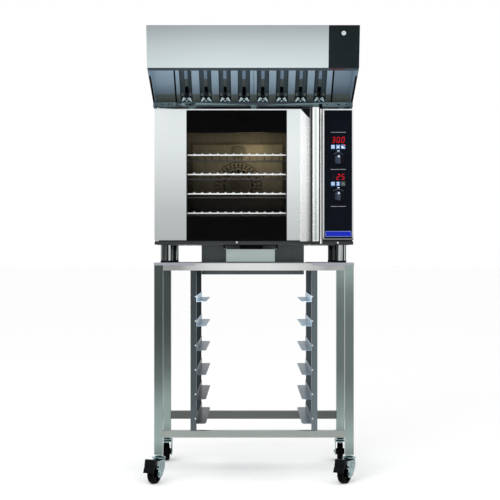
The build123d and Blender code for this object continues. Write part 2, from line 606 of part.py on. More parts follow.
# ---------------------------------------------------------------------------
# Door
# ---------------------------------------------------------------------------
PX0, PX1, PZ0, PZ1 = DOOR_X0 + 1.5, DOOR_X1 - 1.5, 995.5, 1522.0
with BuildPart() as door_pan:
    block(PX0, PX1, 4.3, DOOR_T, PZ0, PZ1)
    block(PX0 + 1.5, PX1 - 1.5, 3, DOOR_T - 1.5, PZ0 + 1.5, PZ1 - 1.5, Mode.SUBTRACT)
    block(WIN_X0 - 1.5, WIN_X1 + 1.5, 4.3, DOOR_T, WIN_Z0 - 1.5, WIN_Z1 + 1.5)
    block(WIN_X0, WIN_X1, 3, DOOR_T + 1, WIN_Z0, WIN_Z1, Mode.SUBTRACT)
    # hinge blocks with their bores
    block(-402, -379, 10, 36.5, 997, 1009)
    block(-402, -379, 10, 36.5, 1508, 1520.5)
    rod((HINGE_X, HINGE_Y, 994), (HINGE_X, HINGE_Y, 1010), 4.05, Mode.SUBTRACT)
    rod((HINGE_X, HINGE_Y, 1507), (HINGE_X, HINGE_Y, 1524), 4.05, Mode.SUBTRACT)
    # magnetic catch plate pocket stiffener
    block(236, 260, 34, 36.5, 1220, 1300)
finish(door_pan, "door_pan")

with BuildPart() as door_skins:
    # left skin with its folded edges
    block(DOOR_X0, -275, 0, 1.5, DOOR_Z0, DOOR_Z1)
    block(DOOR_X0, DOOR_X0 + 1.5, 1.5, DOOR_T, DOOR_Z0, DOOR_Z1)
    block(DOOR_X0, -275, 1.5, 36, DOOR_Z0, DOOR_Z0 + 1.2)
    # right skin with its folded edges
    block(134, DOOR_X1, 0, 1.5, DOOR_Z0, DOOR_Z1)
    block(DOOR_X1 - 1.5, DOOR_X1, 1.5, DOOR_T, DOOR_Z0, DOOR_Z1)
    block(134, DOOR_X1, 1.5, 36, DOOR_Z0, DOOR_Z0 + 1.2)
    # bright hem along the top
    block(-403, 262, 0, 14, DOOR_Z1, HEM_TOP)
    rod((HINGE_X, HINGE_Y, 993), (HINGE_X, HINGE_Y, 996), 6.0, Mode.SUBTRACT)
finish(door_skins, "door_skins")

with BuildPart() as door_glass_outer:
    block(-274.8, 133.8, 0.3, 4.3, 995.5, DOOR_Z1)
finish(door_glass_outer, "door_glass_outer")

with BuildPart() as door_glass_inner:
    block(WIN_X0, WIN_X1, 30, 34, WIN_Z0, WIN_Z1)
finish(door_glass_inner, "door_glass_inner")

GX, GR = 188.0, 38.0      # start and radius of the cove that runs out to the grip


def cove(r, steps=8, start=0.0):
    """Points along the cove, from the door's face out to the grip."""
    pts = []
    for i in range(steps + 1):
        a = math.radians(start + (90.0 - start) * i / steps)
        pts.append((GX + r * math.sin(a), -GR + r * math.cos(a)))
    return pts


GRIP = [(226, -55), (229, -58), (230, -58), (230, -48), (234, -48), (234, -57), (236.5, -60), (258.5, -60),
        (261.5, -57), (261.5, -40), (258.5, -37), (228.5, -37)]
with BuildPart() as door_handle:
    back = cove(40.5, 8, math.degrees(math.acos(38.0 / 40.5)))
    prism(plane_z(989.5), cove(38.0) + GRIP + list(reversed(back))[1:], HEM_TOP - 989.5)
    # the cove's top corner is cut away at 45 degrees
    prism(plane_y(5), [(186, 1532), (186, 1528.4), (190.4, 1528.4), (225.6, 1487.4), (225.6, 1532)], 70, Mode.SUBTRACT)
    # black end caps, separate pieces
    cap = []
    for i in range(9):
        a = math.acos(37.999 / 40.9) + (math.acos(1.2 / 40.9) - math.acos(37.999 / 40.9)) * i / 8
        cap.append((GX + 40.9 * math.sin(a), -GR + 40.9 * math.cos(a)))
    cap += [(259, -36.8), (259, 0)]
    prism(plane_z(1484), cap, HEM_TOP - 1484)
    prism(plane_z(989.5), cap, 9)
finish(door_handle, "door_handle")

# ---------------------------------------------------------------------------
# Hood
# ---------------------------------------------------------------------------
HL, HR = HX - HALF_W, HX + HALF_W
SIDE = [(FASCIA_Y1 + 1.7, HOOD_TOP), (FASCIA_Y0 + 1.7, FASCIA_Z0), (-15, 1552.5), (-15, HOOD_BOTTOM),
        (HOOD_BACK, HOOD_BOTTOM), (HOOD_BACK, HOOD_TOP)]
with BuildPart() as hood_shell:
    prism(plane_x(HL), SIDE, SHEET)
    prism(plane_x(HR - SHEET), SIDE, SHEET)
    block(HL, HR, FASCIA_Y1 + 2.2, HOOD_BACK, HOOD_TOP - SHEET, HOOD_TOP)
    block(HL, HR, HOOD_BACK - SHEET, HOOD_BACK, HOOD_BOTTOM, HOOD_TOP)
    block(HL + 1, HR - 1, FILTER_Y0, HOOD_BACK - 1, HOOD_FLOOR, HOOD_FLOOR + SHEET)
    block(-235.8, 227.8, 609.2, 686.8, HOOD_FLOOR - 1, HOOD_FLOOR + 3, Mode.SUBTRACT)
    # flanges that stand on the oven
    block(HL, HL + 16, 47, 600, HOOD_BOTTOM, HOOD_BOTTOM + SHEET)
    block(HR - 16, HR, 47, 600, HOOD_BOTTOM, HOOD_BOTTOM + SHEET)
    # sloped flanges along the open sides
    k = (FASCIA_Z0 - 1552.5) / (-15 - FASCIA_Y0 - 1.7)
    edge = [(-242.5, 1552.5 + k * 227.5), (-15, 1552.5), (-15, 1554.1), (-242.5, 1554.1 + k * 227.5)]
    prism(plane_x(HL), edge, 9)
    prism(plane_x(HR - 9), edge, 9)
    # canopy ceiling
    block(HL + 1, HR - 1, -337, -110, FILTER_Z1 + 1.5, FILTER_Z1 + 3)
    # outlet slots in the roof and in the back
    for k in range(12):
        y = 470 + 15 * k
        block(-250, 242, y, y + 6, HOOD_TOP - 3, HOOD_TOP + 1, Mode.SUBTRACT)
finish(hood_shell, "hood_shell")

ux, uz = (FASCIA_Y1 - FASCIA_Y0), (FASCIA_Z1 - FASCIA_Z0)
ul = math.hypot(ux, uz)
ux, uz = ux / ul, uz / ul            # up along the fascia, in Y and Z
NY, NZ = -uz, ux                     # outward normal of the fascia
with BuildPart() as hood_fascia:
    sheet = [(FASCIA_Y0, FASCIA_Z0), (FASCIA_Y1, FASCIA_Z1), (FASCIA_Y1 + 1.6, FASCIA_Z1), (FASCIA_Y0 + 1.6, FASCIA_Z0)]
    prism(plane_x(HL), sheet, 283.5 - HL)
    # folded drip channel along the bottom
    block(HL + 1.6, 283.5, FASCIA_Y0 + 1.0, -243, FASCIA_Z0, FASCIA_Z0 + 1.2)
    block(283.5, HR - 1.6, FASCIA_Y0 + 1.8, -243, FASCIA_Z0, FASCIA_Z0 + 1.2)
    block(HL + 1.6, HR - 1.6, -244.2, -243, FASCIA_Z0 + 1.2, FASCIA_Z0 + 14)
finish(hood_fascia, "hood_fascia")

BUT_X, BUT_Z = 339.8, 1776.0
BUT_Y = FASCIA_Y0 + (BUT_Z - FASCIA_Z0) * (FASCIA_Y1 - FASCIA_Y0) / (FASCIA_Z1 - FASCIA_Z0)
with BuildPart() as hood_control_panel:
    sheet = [(FASCIA_Y0, FASCIA_Z0), (FASCIA_Y1, FASCIA_Z1), (FASCIA_Y1 + 1.6, FASCIA_Z1), (FASCIA_Y0 + 1.6, FASCIA_Z0)]
    prism(plane_x(284.5), sheet, HR - 284.5)
    rod((BUT_X, BUT_Y + NY * 6, BUT_Z + NZ * 6), (BUT_X, BUT_Y - NY * 8, BUT_Z - NZ * 8), 10.3, Mode.SUBTRACT)
    # switch body behind the panel
    back = [(-12, 0), (12, 0), (12, 22), (-12, 22)]
    a = (BUT_Y - NY * 9, BUT_Z - NZ * 9)
    b = (BUT_Y - NY * 26, BUT_Z - NZ * 26)
    rod((BUT_X, a[0], a[1]), (BUT_X, b[0], b[1]), 13.0)
    rod((BUT_X, BUT_Y - NY * 1.5, BUT_Z - NZ * 1.5), (BUT_X, a[0], a[1]), 13.0)
    rod((BUT_X, BUT_Y - NY * 0.5, BUT_Z - NZ * 0.5), (BUT_X, BUT_Y - NY * 9, BUT_Z - NZ * 9), 10.3, Mode.SUBTRACT)
finish(hood_control_panel, "hood_control_panel")

with BuildPart() as hood_button:
    rod((BUT_X, BUT_Y + NY * 3, BUT_Z + NZ * 3), (BUT_X, BUT_Y - NY * 5.5, BUT_Z - NZ * 5.5), 10.0)
    fillet(hood_button.edges().filter_by(GeomType.CIRCLE).sort_by(Axis.Y)[0], 1.2)
finish(hood_button, "hood_button")

sy, sz = FILTER_Y1 - FILTER_Y0, FILTER_Z1 - FILTER_Z0
sl = math.hypot(sy, sz)
sy, sz = sy / sl, sz / sl
bank = Plane(origin=P(0, FILTER_Y0, FILTER_Z0), x_dir=(1, 0, 0), z_dir=(0, sy, sz))   # local Y points up, off the bank
with BuildPart() as filter_frame:
    for xa, xb in ((HL + 1.6, FILTER_X0 - 0.6), (FILTER_X1 + 0.6, HR - 1.6)):
        with BuildSketch(bank) as blank:
            with BuildLine():
                Polyline((xa, 0), (xb, 0), (xb, 1.5), (xa, 1.5), close=True)
            make_face()
        extrude(blank.sketch, amount=sl)
        # upright edge beside the filters
        xe = xb if xa < 0 else xa
        xs = sorted((xe, xe - 1.5 if xa < 0 else xe + 1.5))
        with BuildSketch(bank) as side:
            with BuildLine():
                Polyline((xs[0], 0), (xs[1], 0), (xs[1], 30), (xs[0], 30), close=True)
            make_face()
        extrude(side.sketch, amount=sl)
    # bottom rail with its deeper bracket sections
    block(HL + 1.6, HR - 1.6, 137.5, 139, 1560, 1571.6)
    block(HL + 1.6, HR - 1.6, 139, 141.5, 1570.2, 1571.6)
    block(HL + 1.6, FILTER_X0 - 1, 138, 143.5, 1570.5, 1574.5)
    block(FILTER_X1 + 1, HR - 1.6, 138, 143.5, 1570.5, 1574.5)
    for xa, xb in ((-405, -327), (-283, -240), (286, 399)):
        block(xa, xb, 136, 137.5, 1553.5, 1571)
        block(xa, xb, 137.5, 150, 1553.5, 1555)
    # ledge that the rail stands on, down to the oven's top
    for x in (-380, -260, 0, 260, 370):
        block(x - 12, x + 12, 150, 151.5, 1533, 1555)
        block(x - 12, x + 12, 137.5, 150, 1553.8, 1555)
        block(x - 12, x + 12, 137.5, 139, 1553.8, 1561)
finish(filter_frame, "filter_frame")

CH_X = (-280.0, -199.0, -119.5, -41.0, 37.0, 116.0, 194.5, 273.0)
with BuildPart() as grease_filters:
    for group, xa, xb in (((0, 1, 2, 3), FILTER_X0, -2.0), ((4, 5, 6, 7), -1.0, FILTER_X1)):
        with BuildSketch(bank) as sec:
            with BuildLine():
                Polyline((xa, 0), (xb, 0), (xb, 1.5), (xa, 1.5), close=True)
            make_face()
            for c in group:
                x = CH_X[c]
                with Locations((x, 0.75)):
                    Rectangle(50, 3, mode=Mode.SUBTRACT)
                for s in (-1, 1):
                    with Locations((x + s * 25.75, 18)):
                        Rectangle(1.5, 36)
                    with Locations((x + s * 16.75, 36.75)):
                        Rectangle(19.5, 1.5)
        extrude(sec.sketch, amount=sl)
        # closed ends
        for off in (0.0, sl - 1.5):
            with BuildSketch(Plane(origin=bank.origin + bank.z_dir * off, x_dir=(1, 0, 0), z_dir=(0, sy, sz))) as end:
                with BuildLine():
                    Polyline((xa, 0), (xb, 0), (xb, 37.5), (xa, 37.5), close=True)
                make_face()
                for c in group:
                    with Locations((CH_X[c], 10)):
                        Circle(3.0, mode=Mode.SUBTRACT)
            extrude(end.sketch, amount=1.5)
finish(grease_filters, "grease_filters")

BX, BY, BZ = HX, 430.0, 1688.0
with BuildPart() as hood_blower:
    rod((BX - 70, BY, BZ), (BX + 70, BY, BZ), 112.0)
    block(BX - 70, BX + 70, BY + 20, BY + 112, BZ, HOOD_TOP - 3)
    rod((BX - 68.5, BY, BZ), (BX + 68.5, BY, BZ), 110.5, Mode.SUBTRACT)
    block(BX - 68.5, BX + 68.5, BY + 21.5, BY + 110.5, BZ, HOOD_TOP - 2, Mode.SUBTRACT)
    rod((BX - 72, BY, BZ), (BX - 68, BY, BZ), 62.0, Mode.SUBTRACT)
    # motor on its plate, with the fixed spindle
    rod((BX + 70, BY, BZ), (BX + 120, BY, BZ), 45.0)
    rod((BX - 50, BY, BZ), (BX + 72, BY, BZ), 6.0)
    # feet on the hood's floor
    for x in (BX - 60, BX + 60):
        for y in (BY - 60, BY + 60):
            block(x - 8, x + 8, y - 8, y + 8, HOOD_FLOOR + SHEET, BZ - 90)
    rod((BX - 68.5, BY, BZ), (BX + 68.5, BY, BZ), 110.5, Mode.SUBTRACT)
    rod((BX - 50, BY, BZ), (BX + 72, BY, BZ), 6.0)
finish(hood_blower, "hood_blower")

with BuildPart() as blower_wheel:
    rod((BX + 44, BY, BZ), (BX + 45.5, BY, BZ), 96.0)
    rod((BX - 46, BY, BZ), (BX - 44.5, BY, BZ), 96.0)
    rod((BX - 47, BY, BZ), (BX - 44, BY, BZ), 78.0, Mode.SUBTRACT)
    rod((BX + 20, BY, BZ), (BX + 45.5, BY, BZ), 18.0)
    with BuildSketch(Plane(origin=P(BX - 45, BY, BZ), x_dir=(0, 1, 0), z_dir=(1, 0, 0))) as vanes:
        with PolarLocations(87, 28):
            Rectangle(16, 1.4, rotation=40)
    extrude(vanes.sketch, amount=90)
    rod((BX + 15, BY, BZ), (BX + 47, BY, BZ), 6.05, Mode.SUBTRACT)
finish(blower_wheel, "blower_wheel")

with BuildPart() as rear_duct:
    # back, side and floor panels
    block(-237, 229, 686.8, 688, 845, HOOD_FLOOR)
    block(-237, -235.8, 608, 686.7, 845, HOOD_FLOOR)
    block(227.8, 229, 608, 686.7, 845, HOOD_FLOOR)
    block(-235.7, 227.7, 608, 686.7, 845, 846.2)
    # front panels, with a small plate for the vent collar
    block(-235.7, 227.7, 608, 609.2, 846.3, NECK_Z - 60.1)
    block(-235.7, FAN_X - 60.1, 608, 609.2, NECK_Z - 60, HOOD_FLOOR)
    block(FAN_X - 60, FAN_X + 60, 608, 609.2, NECK_Z - 60, HOOD_FLOOR)
    block(FAN_X + 60.1, 227.7, 608, 609.2, NECK_Z - 60, HOOD_FLOOR)
    rod((FAN_X, 600, NECK_Z), (FAN_X, 608.5, NECK_Z), 30.0)
    rod((FAN_X, 599, NECK_Z), (FAN_X, 610, NECK_Z), 26.5, Mode.SUBTRACT)
finish(rear_duct, "rear_duct")

# ---------------------------------------------------------------------------
# Small visible fasteners
# ---------------------------------------------------------------------------
with BuildPart() as screws:
    for x, z in ((-69.7, 985.5), (342.0, 984.0)):
        rod((x, 8, z), (x, 5.5, z), 4.0)
    for x in (-281, -244.5, 225, 254):
        rod((x, 26, 976), (x, 26, 973), 4.5)
    for k in range(RUNNERS):
        z = RUNNER_FIRST + RUNNER_PITCH * k + 21
        for sx in (-1, 1):
            rod((sx * 237.5, -8, z), (sx * 237.5, -10, z), 3.2)
            rod((sx * 237.5, 522, z), (sx * 237.5, 524, z), 3.2)
    for x in (-357, -275, 357):
        rod((x, 136, 1563), (x, 134.2, 1563), 4.0)
finish(screws, "screws")
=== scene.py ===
import math
import bpy
import bmesh
from mathutils import Vector, Matrix


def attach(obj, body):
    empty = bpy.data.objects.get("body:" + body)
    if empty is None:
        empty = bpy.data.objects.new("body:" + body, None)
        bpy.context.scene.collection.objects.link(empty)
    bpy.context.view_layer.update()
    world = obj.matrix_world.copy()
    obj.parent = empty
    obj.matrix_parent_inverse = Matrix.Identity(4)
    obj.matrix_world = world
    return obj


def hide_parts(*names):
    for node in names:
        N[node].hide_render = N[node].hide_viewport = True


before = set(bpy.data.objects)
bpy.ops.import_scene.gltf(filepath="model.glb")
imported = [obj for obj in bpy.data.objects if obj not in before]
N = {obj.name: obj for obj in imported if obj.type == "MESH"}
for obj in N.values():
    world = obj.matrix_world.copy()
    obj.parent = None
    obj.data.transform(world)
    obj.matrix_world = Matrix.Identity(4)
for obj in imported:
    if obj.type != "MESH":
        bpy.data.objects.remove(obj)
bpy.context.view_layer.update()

ROOT = "oven_on_stand"
_c = [N["oven_case"].matrix_world @ Vector(c) for c in N["oven_case"].bound_box]
OX = 500.0 * (min(v.x for v in _c) + max(v.x for v in _c))      # the oven's centre line, in mm
OY, FLOOR = -167.5, 9.5      # door face and floor line, in mm


def W(x, y, z):
    """Oven coordinates in mm (X from the centre line, Y from the door's face, Z from the drawing's base line) to metres."""
    return Vector(((OX + x) / 1000.0, (OY + y) / 1000.0, (z - FLOOR) / 1000.0))


def lin(c, k=1.0):
    """Display colour 0..255 to linear, times k."""
    out = []
    for v in c:
        v = v / 255.0
        out.append(min(1.0, (v / 12.92 if v <= 0.04045 else ((v + 0.055) / 1.055) ** 2.4) * k))
    return tuple(out)


# ---------------------------------------------------------------------------
# Camera
# ---------------------------------------------------------------------------
cam_data = bpy.data.cameras.new("camera")
cam_data.sensor_width = 36.0
cam_data.lens = 36.0 * 1253.0 / 500.0
cam_data.shift_x = -0.002
cam_data.shift_y = 0.009
cam_data.clip_start = 0.05
cam_data.clip_end = 200.0
cam = bpy.data.objects.new("camera", cam_data)
cam.location = W(-12, -5100, 936)
cam.rotation_euler = (math.radians(90), 0, 0)
bpy.context.scene.collection.objects.link(cam)
bpy.context.scene.camera = cam
bpy.context.scene.view_settings.view_transform = "Standard"
bpy.context.scene.view_settings.look = "None"


class Nodes:
    """Short way to wire a node tree."""

    def __init__(self, tree):
        self.t = tree
        self.t.nodes.clear()

    def add(self, kind, **kw):
        n = self.t.nodes.new(kind)
        for k, v in kw.items():
            setattr(n, k, v)
        return n

    def link(self, a, b):
        self.t.links.new(a, b)

    def math(self, op, a, b=None, clamp=False):
        n = self.t.nodes.new("ShaderNodeMath")
        n.operation = op
        n.use_clamp = clamp
        for i, v in enumerate((a, b)):
            if v is None:
                continue
            if isinstance(v, (int, float)):
                n.inputs[i].default_value = v
            else:
                self.t.links.new(v, n.inputs[i])
        return n.outputs[0]

    def remap(self, v, a, b, c, d):
        n = self.t.nodes.new("ShaderNodeMapRange")
        n.clamp = True
        self.t.links.new(v, n.inputs["Value"])
        for k, val in (("From Min", a), ("From Max", b), ("To Min", c), ("To Max", d)):
            n.inputs[k].default_value = val
        return n.outputs["Result"]

    def mix(self, fac, a, b, blend="MIX"):
        n = self.t.nodes.new("ShaderNodeMix")
        n.data_type = "RGBA"
        n.blend_type = blend
        if isinstance(fac, (int, float)):
            n.inputs[0].default_value = fac
        else:
            self.t.links.new(fac, n.inputs[0])
        for i, v in ((6, a), (7, b)):
            if isinstance(v, (tuple, list)):
                n.inputs[i].default_value = tuple(v) if len(v) == 4 else (v[0], v[1], v[2], 1.0)
            else:
                self.t.links.new(v, n.inputs[i])
        return n.outputs[2]

    def ramp(self, value, stops):
        n = self.t.nodes.new("ShaderNodeValToRGB")
        cr = n.color_ramp
        while len(cr.elements) > 1:
            cr.elements.remove(cr.elements[-1])
        for i, (p, c) in enumerate(stops):
            e = cr.elements[0] if i == 0 else cr.elements.new(p)
            e.position = p
            e.color = (c[0], c[1], c[2], 1.0)
        self.t.links.new(value, n.inputs[0])
        return n.outputs[0]

    def scale(self, col, factor):
        n = self.t.nodes.new("ShaderNodeVectorMath")
        n.operation = "SCALE"
        self.t.links.new(col, n.inputs[0])
        self.t.links.new(factor, n.inputs["Scale"])
        return n.outputs[0]

    def noise(self, coord, scale=(1, 1, 1), s=1.0, detail=2.0, rough=0.5, offset=(0, 0, 0)):
        m = self.t.nodes.new("ShaderNodeMapping")
        m.inputs["Scale"].default_value = scale
        m.inputs["Location"].default_value = offset
        self.t.links.new(coord, m.inputs["Vector"])
        n = self.t.nodes.new("ShaderNodeTexNoise")
        n.inputs["Scale"].default_value = s
        n.inputs["Detail"].default_value = detail
        n.inputs["Roughness"].default_value = rough
        self.t.links.new(m.outputs[0], n.inputs["Vector"])
        return n.outputs["Fac"]


# ---------------------------------------------------------------------------
# White studio: a pale floor and a white surround that reads a little softer in
# reflections
# ---------------------------------------------------------------------------
world = bpy.data.worlds.new("studio")
world.use_nodes = True
w = Nodes(world.node_tree)
lp = w.add("ShaderNodeLightPath")
wc = w.add("ShaderNodeTexCoord")
ws = w.add("ShaderNodeSeparateXYZ")
w.link(wc.outputs["Generated"], ws.inputs[0])
up = w.remap(ws.outputs[2], -0.1, 0.6, 0.0, 1.0)
soft = w.mix(up, (0.872, 0.888, 0.89), (0.93, 0.935, 0.94))
col = w.mix(lp.outputs["Is Glossy Ray"], (1.0, 1.0, 1.0), soft)
bg = w.add("ShaderNodeBackground")
w.link(col, bg.inputs["Color"])
bg.inputs["Strength"].default_value = 1.0
wo = w.add("ShaderNodeOutputWorld")
w.link(bg.outputs[0], wo.inputs[0])
bpy.context.scene.world = world


def floor_material():
    m = bpy.data.materials.new("studio_floor")
    m.use_nodes = True
    n = Nodes(m.node_tree)
    tc = n.add("ShaderNodeTexCoord")
    lpf = n.add("ShaderNodeLightPath")
    grain = n.noise(tc.outputs["Object"], s=35.0, detail=4.0)
    base = n.mix(n.remap(grain, 0.3, 0.7, 0.0, 1.0), (0.975, 0.977, 0.977), (0.992, 0.992, 0.990))
    col = n.mix(lpf.outputs["Is Glossy Ray"], base, (0.80, 0.81, 0.805))
    b = n.add("ShaderNodeBsdfPrincipled")
    n.link(col, b.inputs["Base Color"])
    b.inputs["Roughness"].default_value = 0.8
    b.inputs["Specular IOR Level"].default_value = 0.1
    o = n.add("ShaderNodeOutputMaterial")
    n.link(b.outputs[0], o.inputs[0])
    return m


def raw_mesh(name, verts, faces, mats):
    me = bpy.data.meshes.new(name)
    me.from_pydata([tuple(v) for v in verts], [], faces)
    me.update()
    ob = bpy.data.objects.new(name, me)
    bpy.context.scene.collection.objects.link(ob)
    for m in mats:
        me.materials.append(m)
    return ob


floor = raw_mesh("studio_floor", [(-60, -60, 0), (60, -60, 0), (60, 90, 0), (-60, 90, 0)], [(0, 1, 2, 3)], [floor_material()])


def area_light(name, loc, target, size, power, color=(1, 1, 1), size_y=None, glossy=False):
    d = bpy.data.lights.new(name, "AREA")
    d.energy = power
    d.color = color
    d.size = size
    if size_y:
        d.shape = "RECTANGLE"
        d.size_y = size_y
    o = bpy.data.objects.new(name, d)
    o.location = loc
    o.rotation_euler = (Vector(target) - Vector(loc)).to_track_quat("-Z", "Y").to_euler()
    o.visible_glossy = glossy
    bpy.context.scene.collection.objects.link(o)
    return o


area_light("key_softbox", (-2.2, -4.0, 3.6), (0, 0, 1.1), 2.6, 62, size_y=2.0)


def point_light(name, loc, power, color, radius):
    d = bpy.data.lights.new(name, "POINT")
    d.energy = power
    d.color = color
    d.shadow_soft_size = radius
    o = bpy.data.objects.new(name, d)
    o.location = loc
    bpy.context.scene.collection.objects.link(o)
    return o


point_light("cavity_lamp", W(-5, 255, 1398), 0.34, (1.0, 0.87, 0.64), 0.05)
area_light("under_hood_softbox", W(0, -1500, 1050), W(0, 0, 1680), 1.0, 24, size_y=0.6)


# ---------------------------------------------------------------------------
# Materials
# ---------------------------------------------------------------------------
def painted_light_spread(n, tc, zx):
    """Painted light and shade over the object itself: height stops at two X positions, mixed between them."""
    x0, x1, left, right = zx
    sep = n.add("ShaderNodeSeparateXYZ")
    n.link(tc, sep.inputs[0])
    lo = min(s[0] for s in left + right)
    hi = max(s[0] for s in left + right)
    h = n.remap(sep.outputs[2], (lo - FLOOR) / 1000.0, (hi - FLOOR) / 1000.0, 0.0, 1.0)
    a = n.ramp(h, [((z - lo) / (hi - lo), lin((v, v, v))) for z, v in sorted(left)])
    b = n.ramp(h, [((z - lo) / (hi - lo), lin((v, v, v))) for z, v in sorted(right)])
    return n.mix(n.remap(sep.outputs[0], (OX + x0) / 1000.0, (OX + x1) / 1000.0, 0.0, 1.0), a, b)


def brushed(name, rgb, r0, r1, grain=(8, 8, 700), cloud=5.0, bump=0.04, tint=None, var=0.07, zx=None, depth=None, k=1.14, metallic=1.0, shade=None, xr=None, spec=0.3):
    """Ground or brushed metal: long fine scratches across `grain`'s large axis, cloudy roughness, faint smudges; zx,
    depth and xr paint light and shade into the colour, and shade paints a near-black shadow box.
    """
    m = bpy.data.materials.new(name)
    m.use_nodes = True
    n = Nodes(m.node_tree)
    tc = n.add("ShaderNodeTexCoord").outputs["Object"]
    streak = n.noise(tc, scale=grain, s=1.0, detail=5.0, rough=0.65)
    fine = n.noise(tc, scale=tuple(g * 2.6 for g in grain), s=1.0, detail=2.0, offset=(3.1, 1.7, 0.4))
    clouds = n.noise(tc, s=cloud, detail=3.0, rough=0.55)
    smudge = n.noise(tc, s=cloud * 7.0, detail=4.0, rough=0.7, offset=(7, 3, 1))
    f = n.math("ADD", n.math("MULTIPLY", streak, 0.6), n.math("MULTIPLY", clouds, 0.4))
    c0, c1 = lin(rgb, k * (1 - var)), lin(rgb, k * (1 + var))
    col = n.mix(n.remap(f, 0.34, 0.66, 0.0, 1.0), c0, c1)
    if tint:
        col = n.mix(n.remap(smudge, 0.52, 0.8, 0.0, 0.35), col, lin(tint, k))
    # painted light and shade: height ramps at two X positions, multiplied into the colour
    if zx:
        col = n.mix(1.0, col, painted_light_spread(n, tc, zx), "MULTIPLY")
    # painted shade: the colour scaled from f0 to f1 going back from y0 to y1
    if depth:
        y0, y1, f0, f1 = depth
        sp = n.add("ShaderNodeSeparateXYZ")
        n.link(tc, sp.inputs[0])
        col = n.scale(col, n.remap(sp.outputs[1], (OY + y0) / 1000.0, (OY + y1) / 1000.0, f0, f1))
    # painted light and shade: a tone ramp across X, multiplied into the colour
    if xr:
        sp = n.add("ShaderNodeSeparateXYZ")
        n.link(tc, sp.inputs[0])
        lo, hi = xr[0][0], xr[-1][0]
        across = n.ramp(n.remap(sp.outputs[0], (OX + lo) / 1000.0, (OX + hi) / 1000.0, 0.0, 1.0), [((x - lo) / (hi - lo), lin((v, v, v))) for x, v in xr])
        col = n.mix(1.0, col, across, "MULTIPLY")
    # painted shadow: a near-black box over x0..x1 and z0..z1
    if shade:
        x0, x1, z0, z1 = shade
        sp = n.add("ShaderNodeSeparateXYZ")
        n.link(tc, sp.inputs[0])
        shadow_box = n.math("MULTIPLY", n.remap(sp.outputs[0], (OX + x0 - 2) / 1000.0, (OX + x0) / 1000.0, 0.0, 1.0), n.remap(sp.outputs[0], (OX + x1) / 1000.0, (OX + x1 + 2) / 1000.0, 1.0, 0.0))
        shadow_box = n.math("MULTIPLY", shadow_box, n.remap(sp.outputs[2], (z0 - 2 - FLOOR) / 1000.0, (z0 - FLOOR) / 1000.0, 0.0, 1.0))
        shadow_box = n.math("MULTIPLY", shadow_box, n.remap(sp.outputs[2], (z1 - FLOOR) / 1000.0, (z1 + 2 - FLOOR) / 1000.0, 1.0, 0.0))
        col = n.mix(shadow_box, col, (0.004, 0.004, 0.004))
    rr = n.math("ADD", n.math("MULTIPLY", fine, 0.5), n.math("MULTIPLY", smudge, 0.5))
    rough = n.remap(rr, 0.3, 0.7, r0, r1)
    b = n.add("ShaderNodeBsdfPrincipled")
    b.inputs["Metallic"].default_value = metallic
    b.inputs["Specular IOR Level"].default_value = spec
    n.link(col, b.inputs["Base Color"])
    n.link(rough, b.inputs["Roughness"])
    bp = n.add("ShaderNodeBump")
    bp.inputs["Strength"].default_value = bump
    bp.inputs["Distance"].default_value = 0.0004
    n.link(streak, bp.inputs["Height"])
    n.link(bp.outputs[0], b.inputs["Normal"])
    o = n.add("ShaderNodeOutputMaterial")
    n.link(b.outputs[0], o.inputs[0])
    return m


def plastic(name, rgb, r0, r1, grain=900.0, bump=0.08, spec=0.5, cloud=12.0, coat=0.0, var=0.15, k=1.0):
    """Moulded plastic, rubber or paint: fine pebble, faint colour clouds."""
    m = bpy.data.materials.new(name)
    m.use_nodes = True
    n = Nodes(m.node_tree)
    tc = n.add("ShaderNodeTexCoord").outputs["Object"]
    pebble = n.noise(tc, s=grain, detail=3.0, rough=0.6)
    clouds = n.noise(tc, s=cloud, detail=4.0, rough=0.6, offset=(2, 5, 1))
    col = n.mix(n.remap(clouds, 0.3, 0.7, 0.0, 1.0), lin(rgb, k * (1 - var)), lin(rgb, k * (1 + var)))
    mixr = n.math("ADD", n.math("MULTIPLY", clouds, 0.6), n.math("MULTIPLY", pebble, 0.4))
    rough = n.remap(mixr, 0.3, 0.7, r0, r1)
    b = n.add("ShaderNodeBsdfPrincipled")
    b.inputs["Specular IOR Level"].default_value = spec
    b.inputs["Coat Weight"].default_value = coat
    b.inputs["Coat Roughness"].default_value = 0.08
    n.link(col, b.inputs["Base Color"])
    n.link(rough, b.inputs["Roughness"])
    bp = n.add("ShaderNodeBump")
    bp.inputs["Strength"].default_value = bump
    bp.inputs["Distance"].default_value = 0.0002
    n.link(pebble, bp.inputs["Height"])
    n.link(bp.outputs[0], b.inputs["Normal"])
    o = n.add("ShaderNodeOutputMaterial")
    n.link(b.outputs[0], o.inputs[0])
    return m


def pane(name, color, alpha, rough, spec):
    m = bpy.data.materials.new(name)
    m.use_nodes = True
    n = Nodes(m.node_tree)
    tc = n.add("ShaderNodeTexCoord").outputs["Object"]
    smear = n.noise(tc, scale=(3, 3, 9), s=4.0, detail=5.0, rough=0.6)
    b = n.add("ShaderNodeBsdfPrincipled")
    col = n.mix(n.remap(smear, 0.35, 0.7, 0.0, 1.0), color, tuple(min(1.0, c * 1.3 + 0.003) for c in color))
    n.link(col, b.inputs["Base Color"])
    n.link(n.remap(smear, 0.3, 0.75, rough, rough * 2.2), b.inputs["Roughness"])
    b.inputs["Alpha"].default_value = alpha
    b.inputs["Specular IOR Level"].default_value = spec
    o = n.add("ShaderNodeOutputMaterial")
    n.link(b.outputs[0], o.inputs[0])
    return m


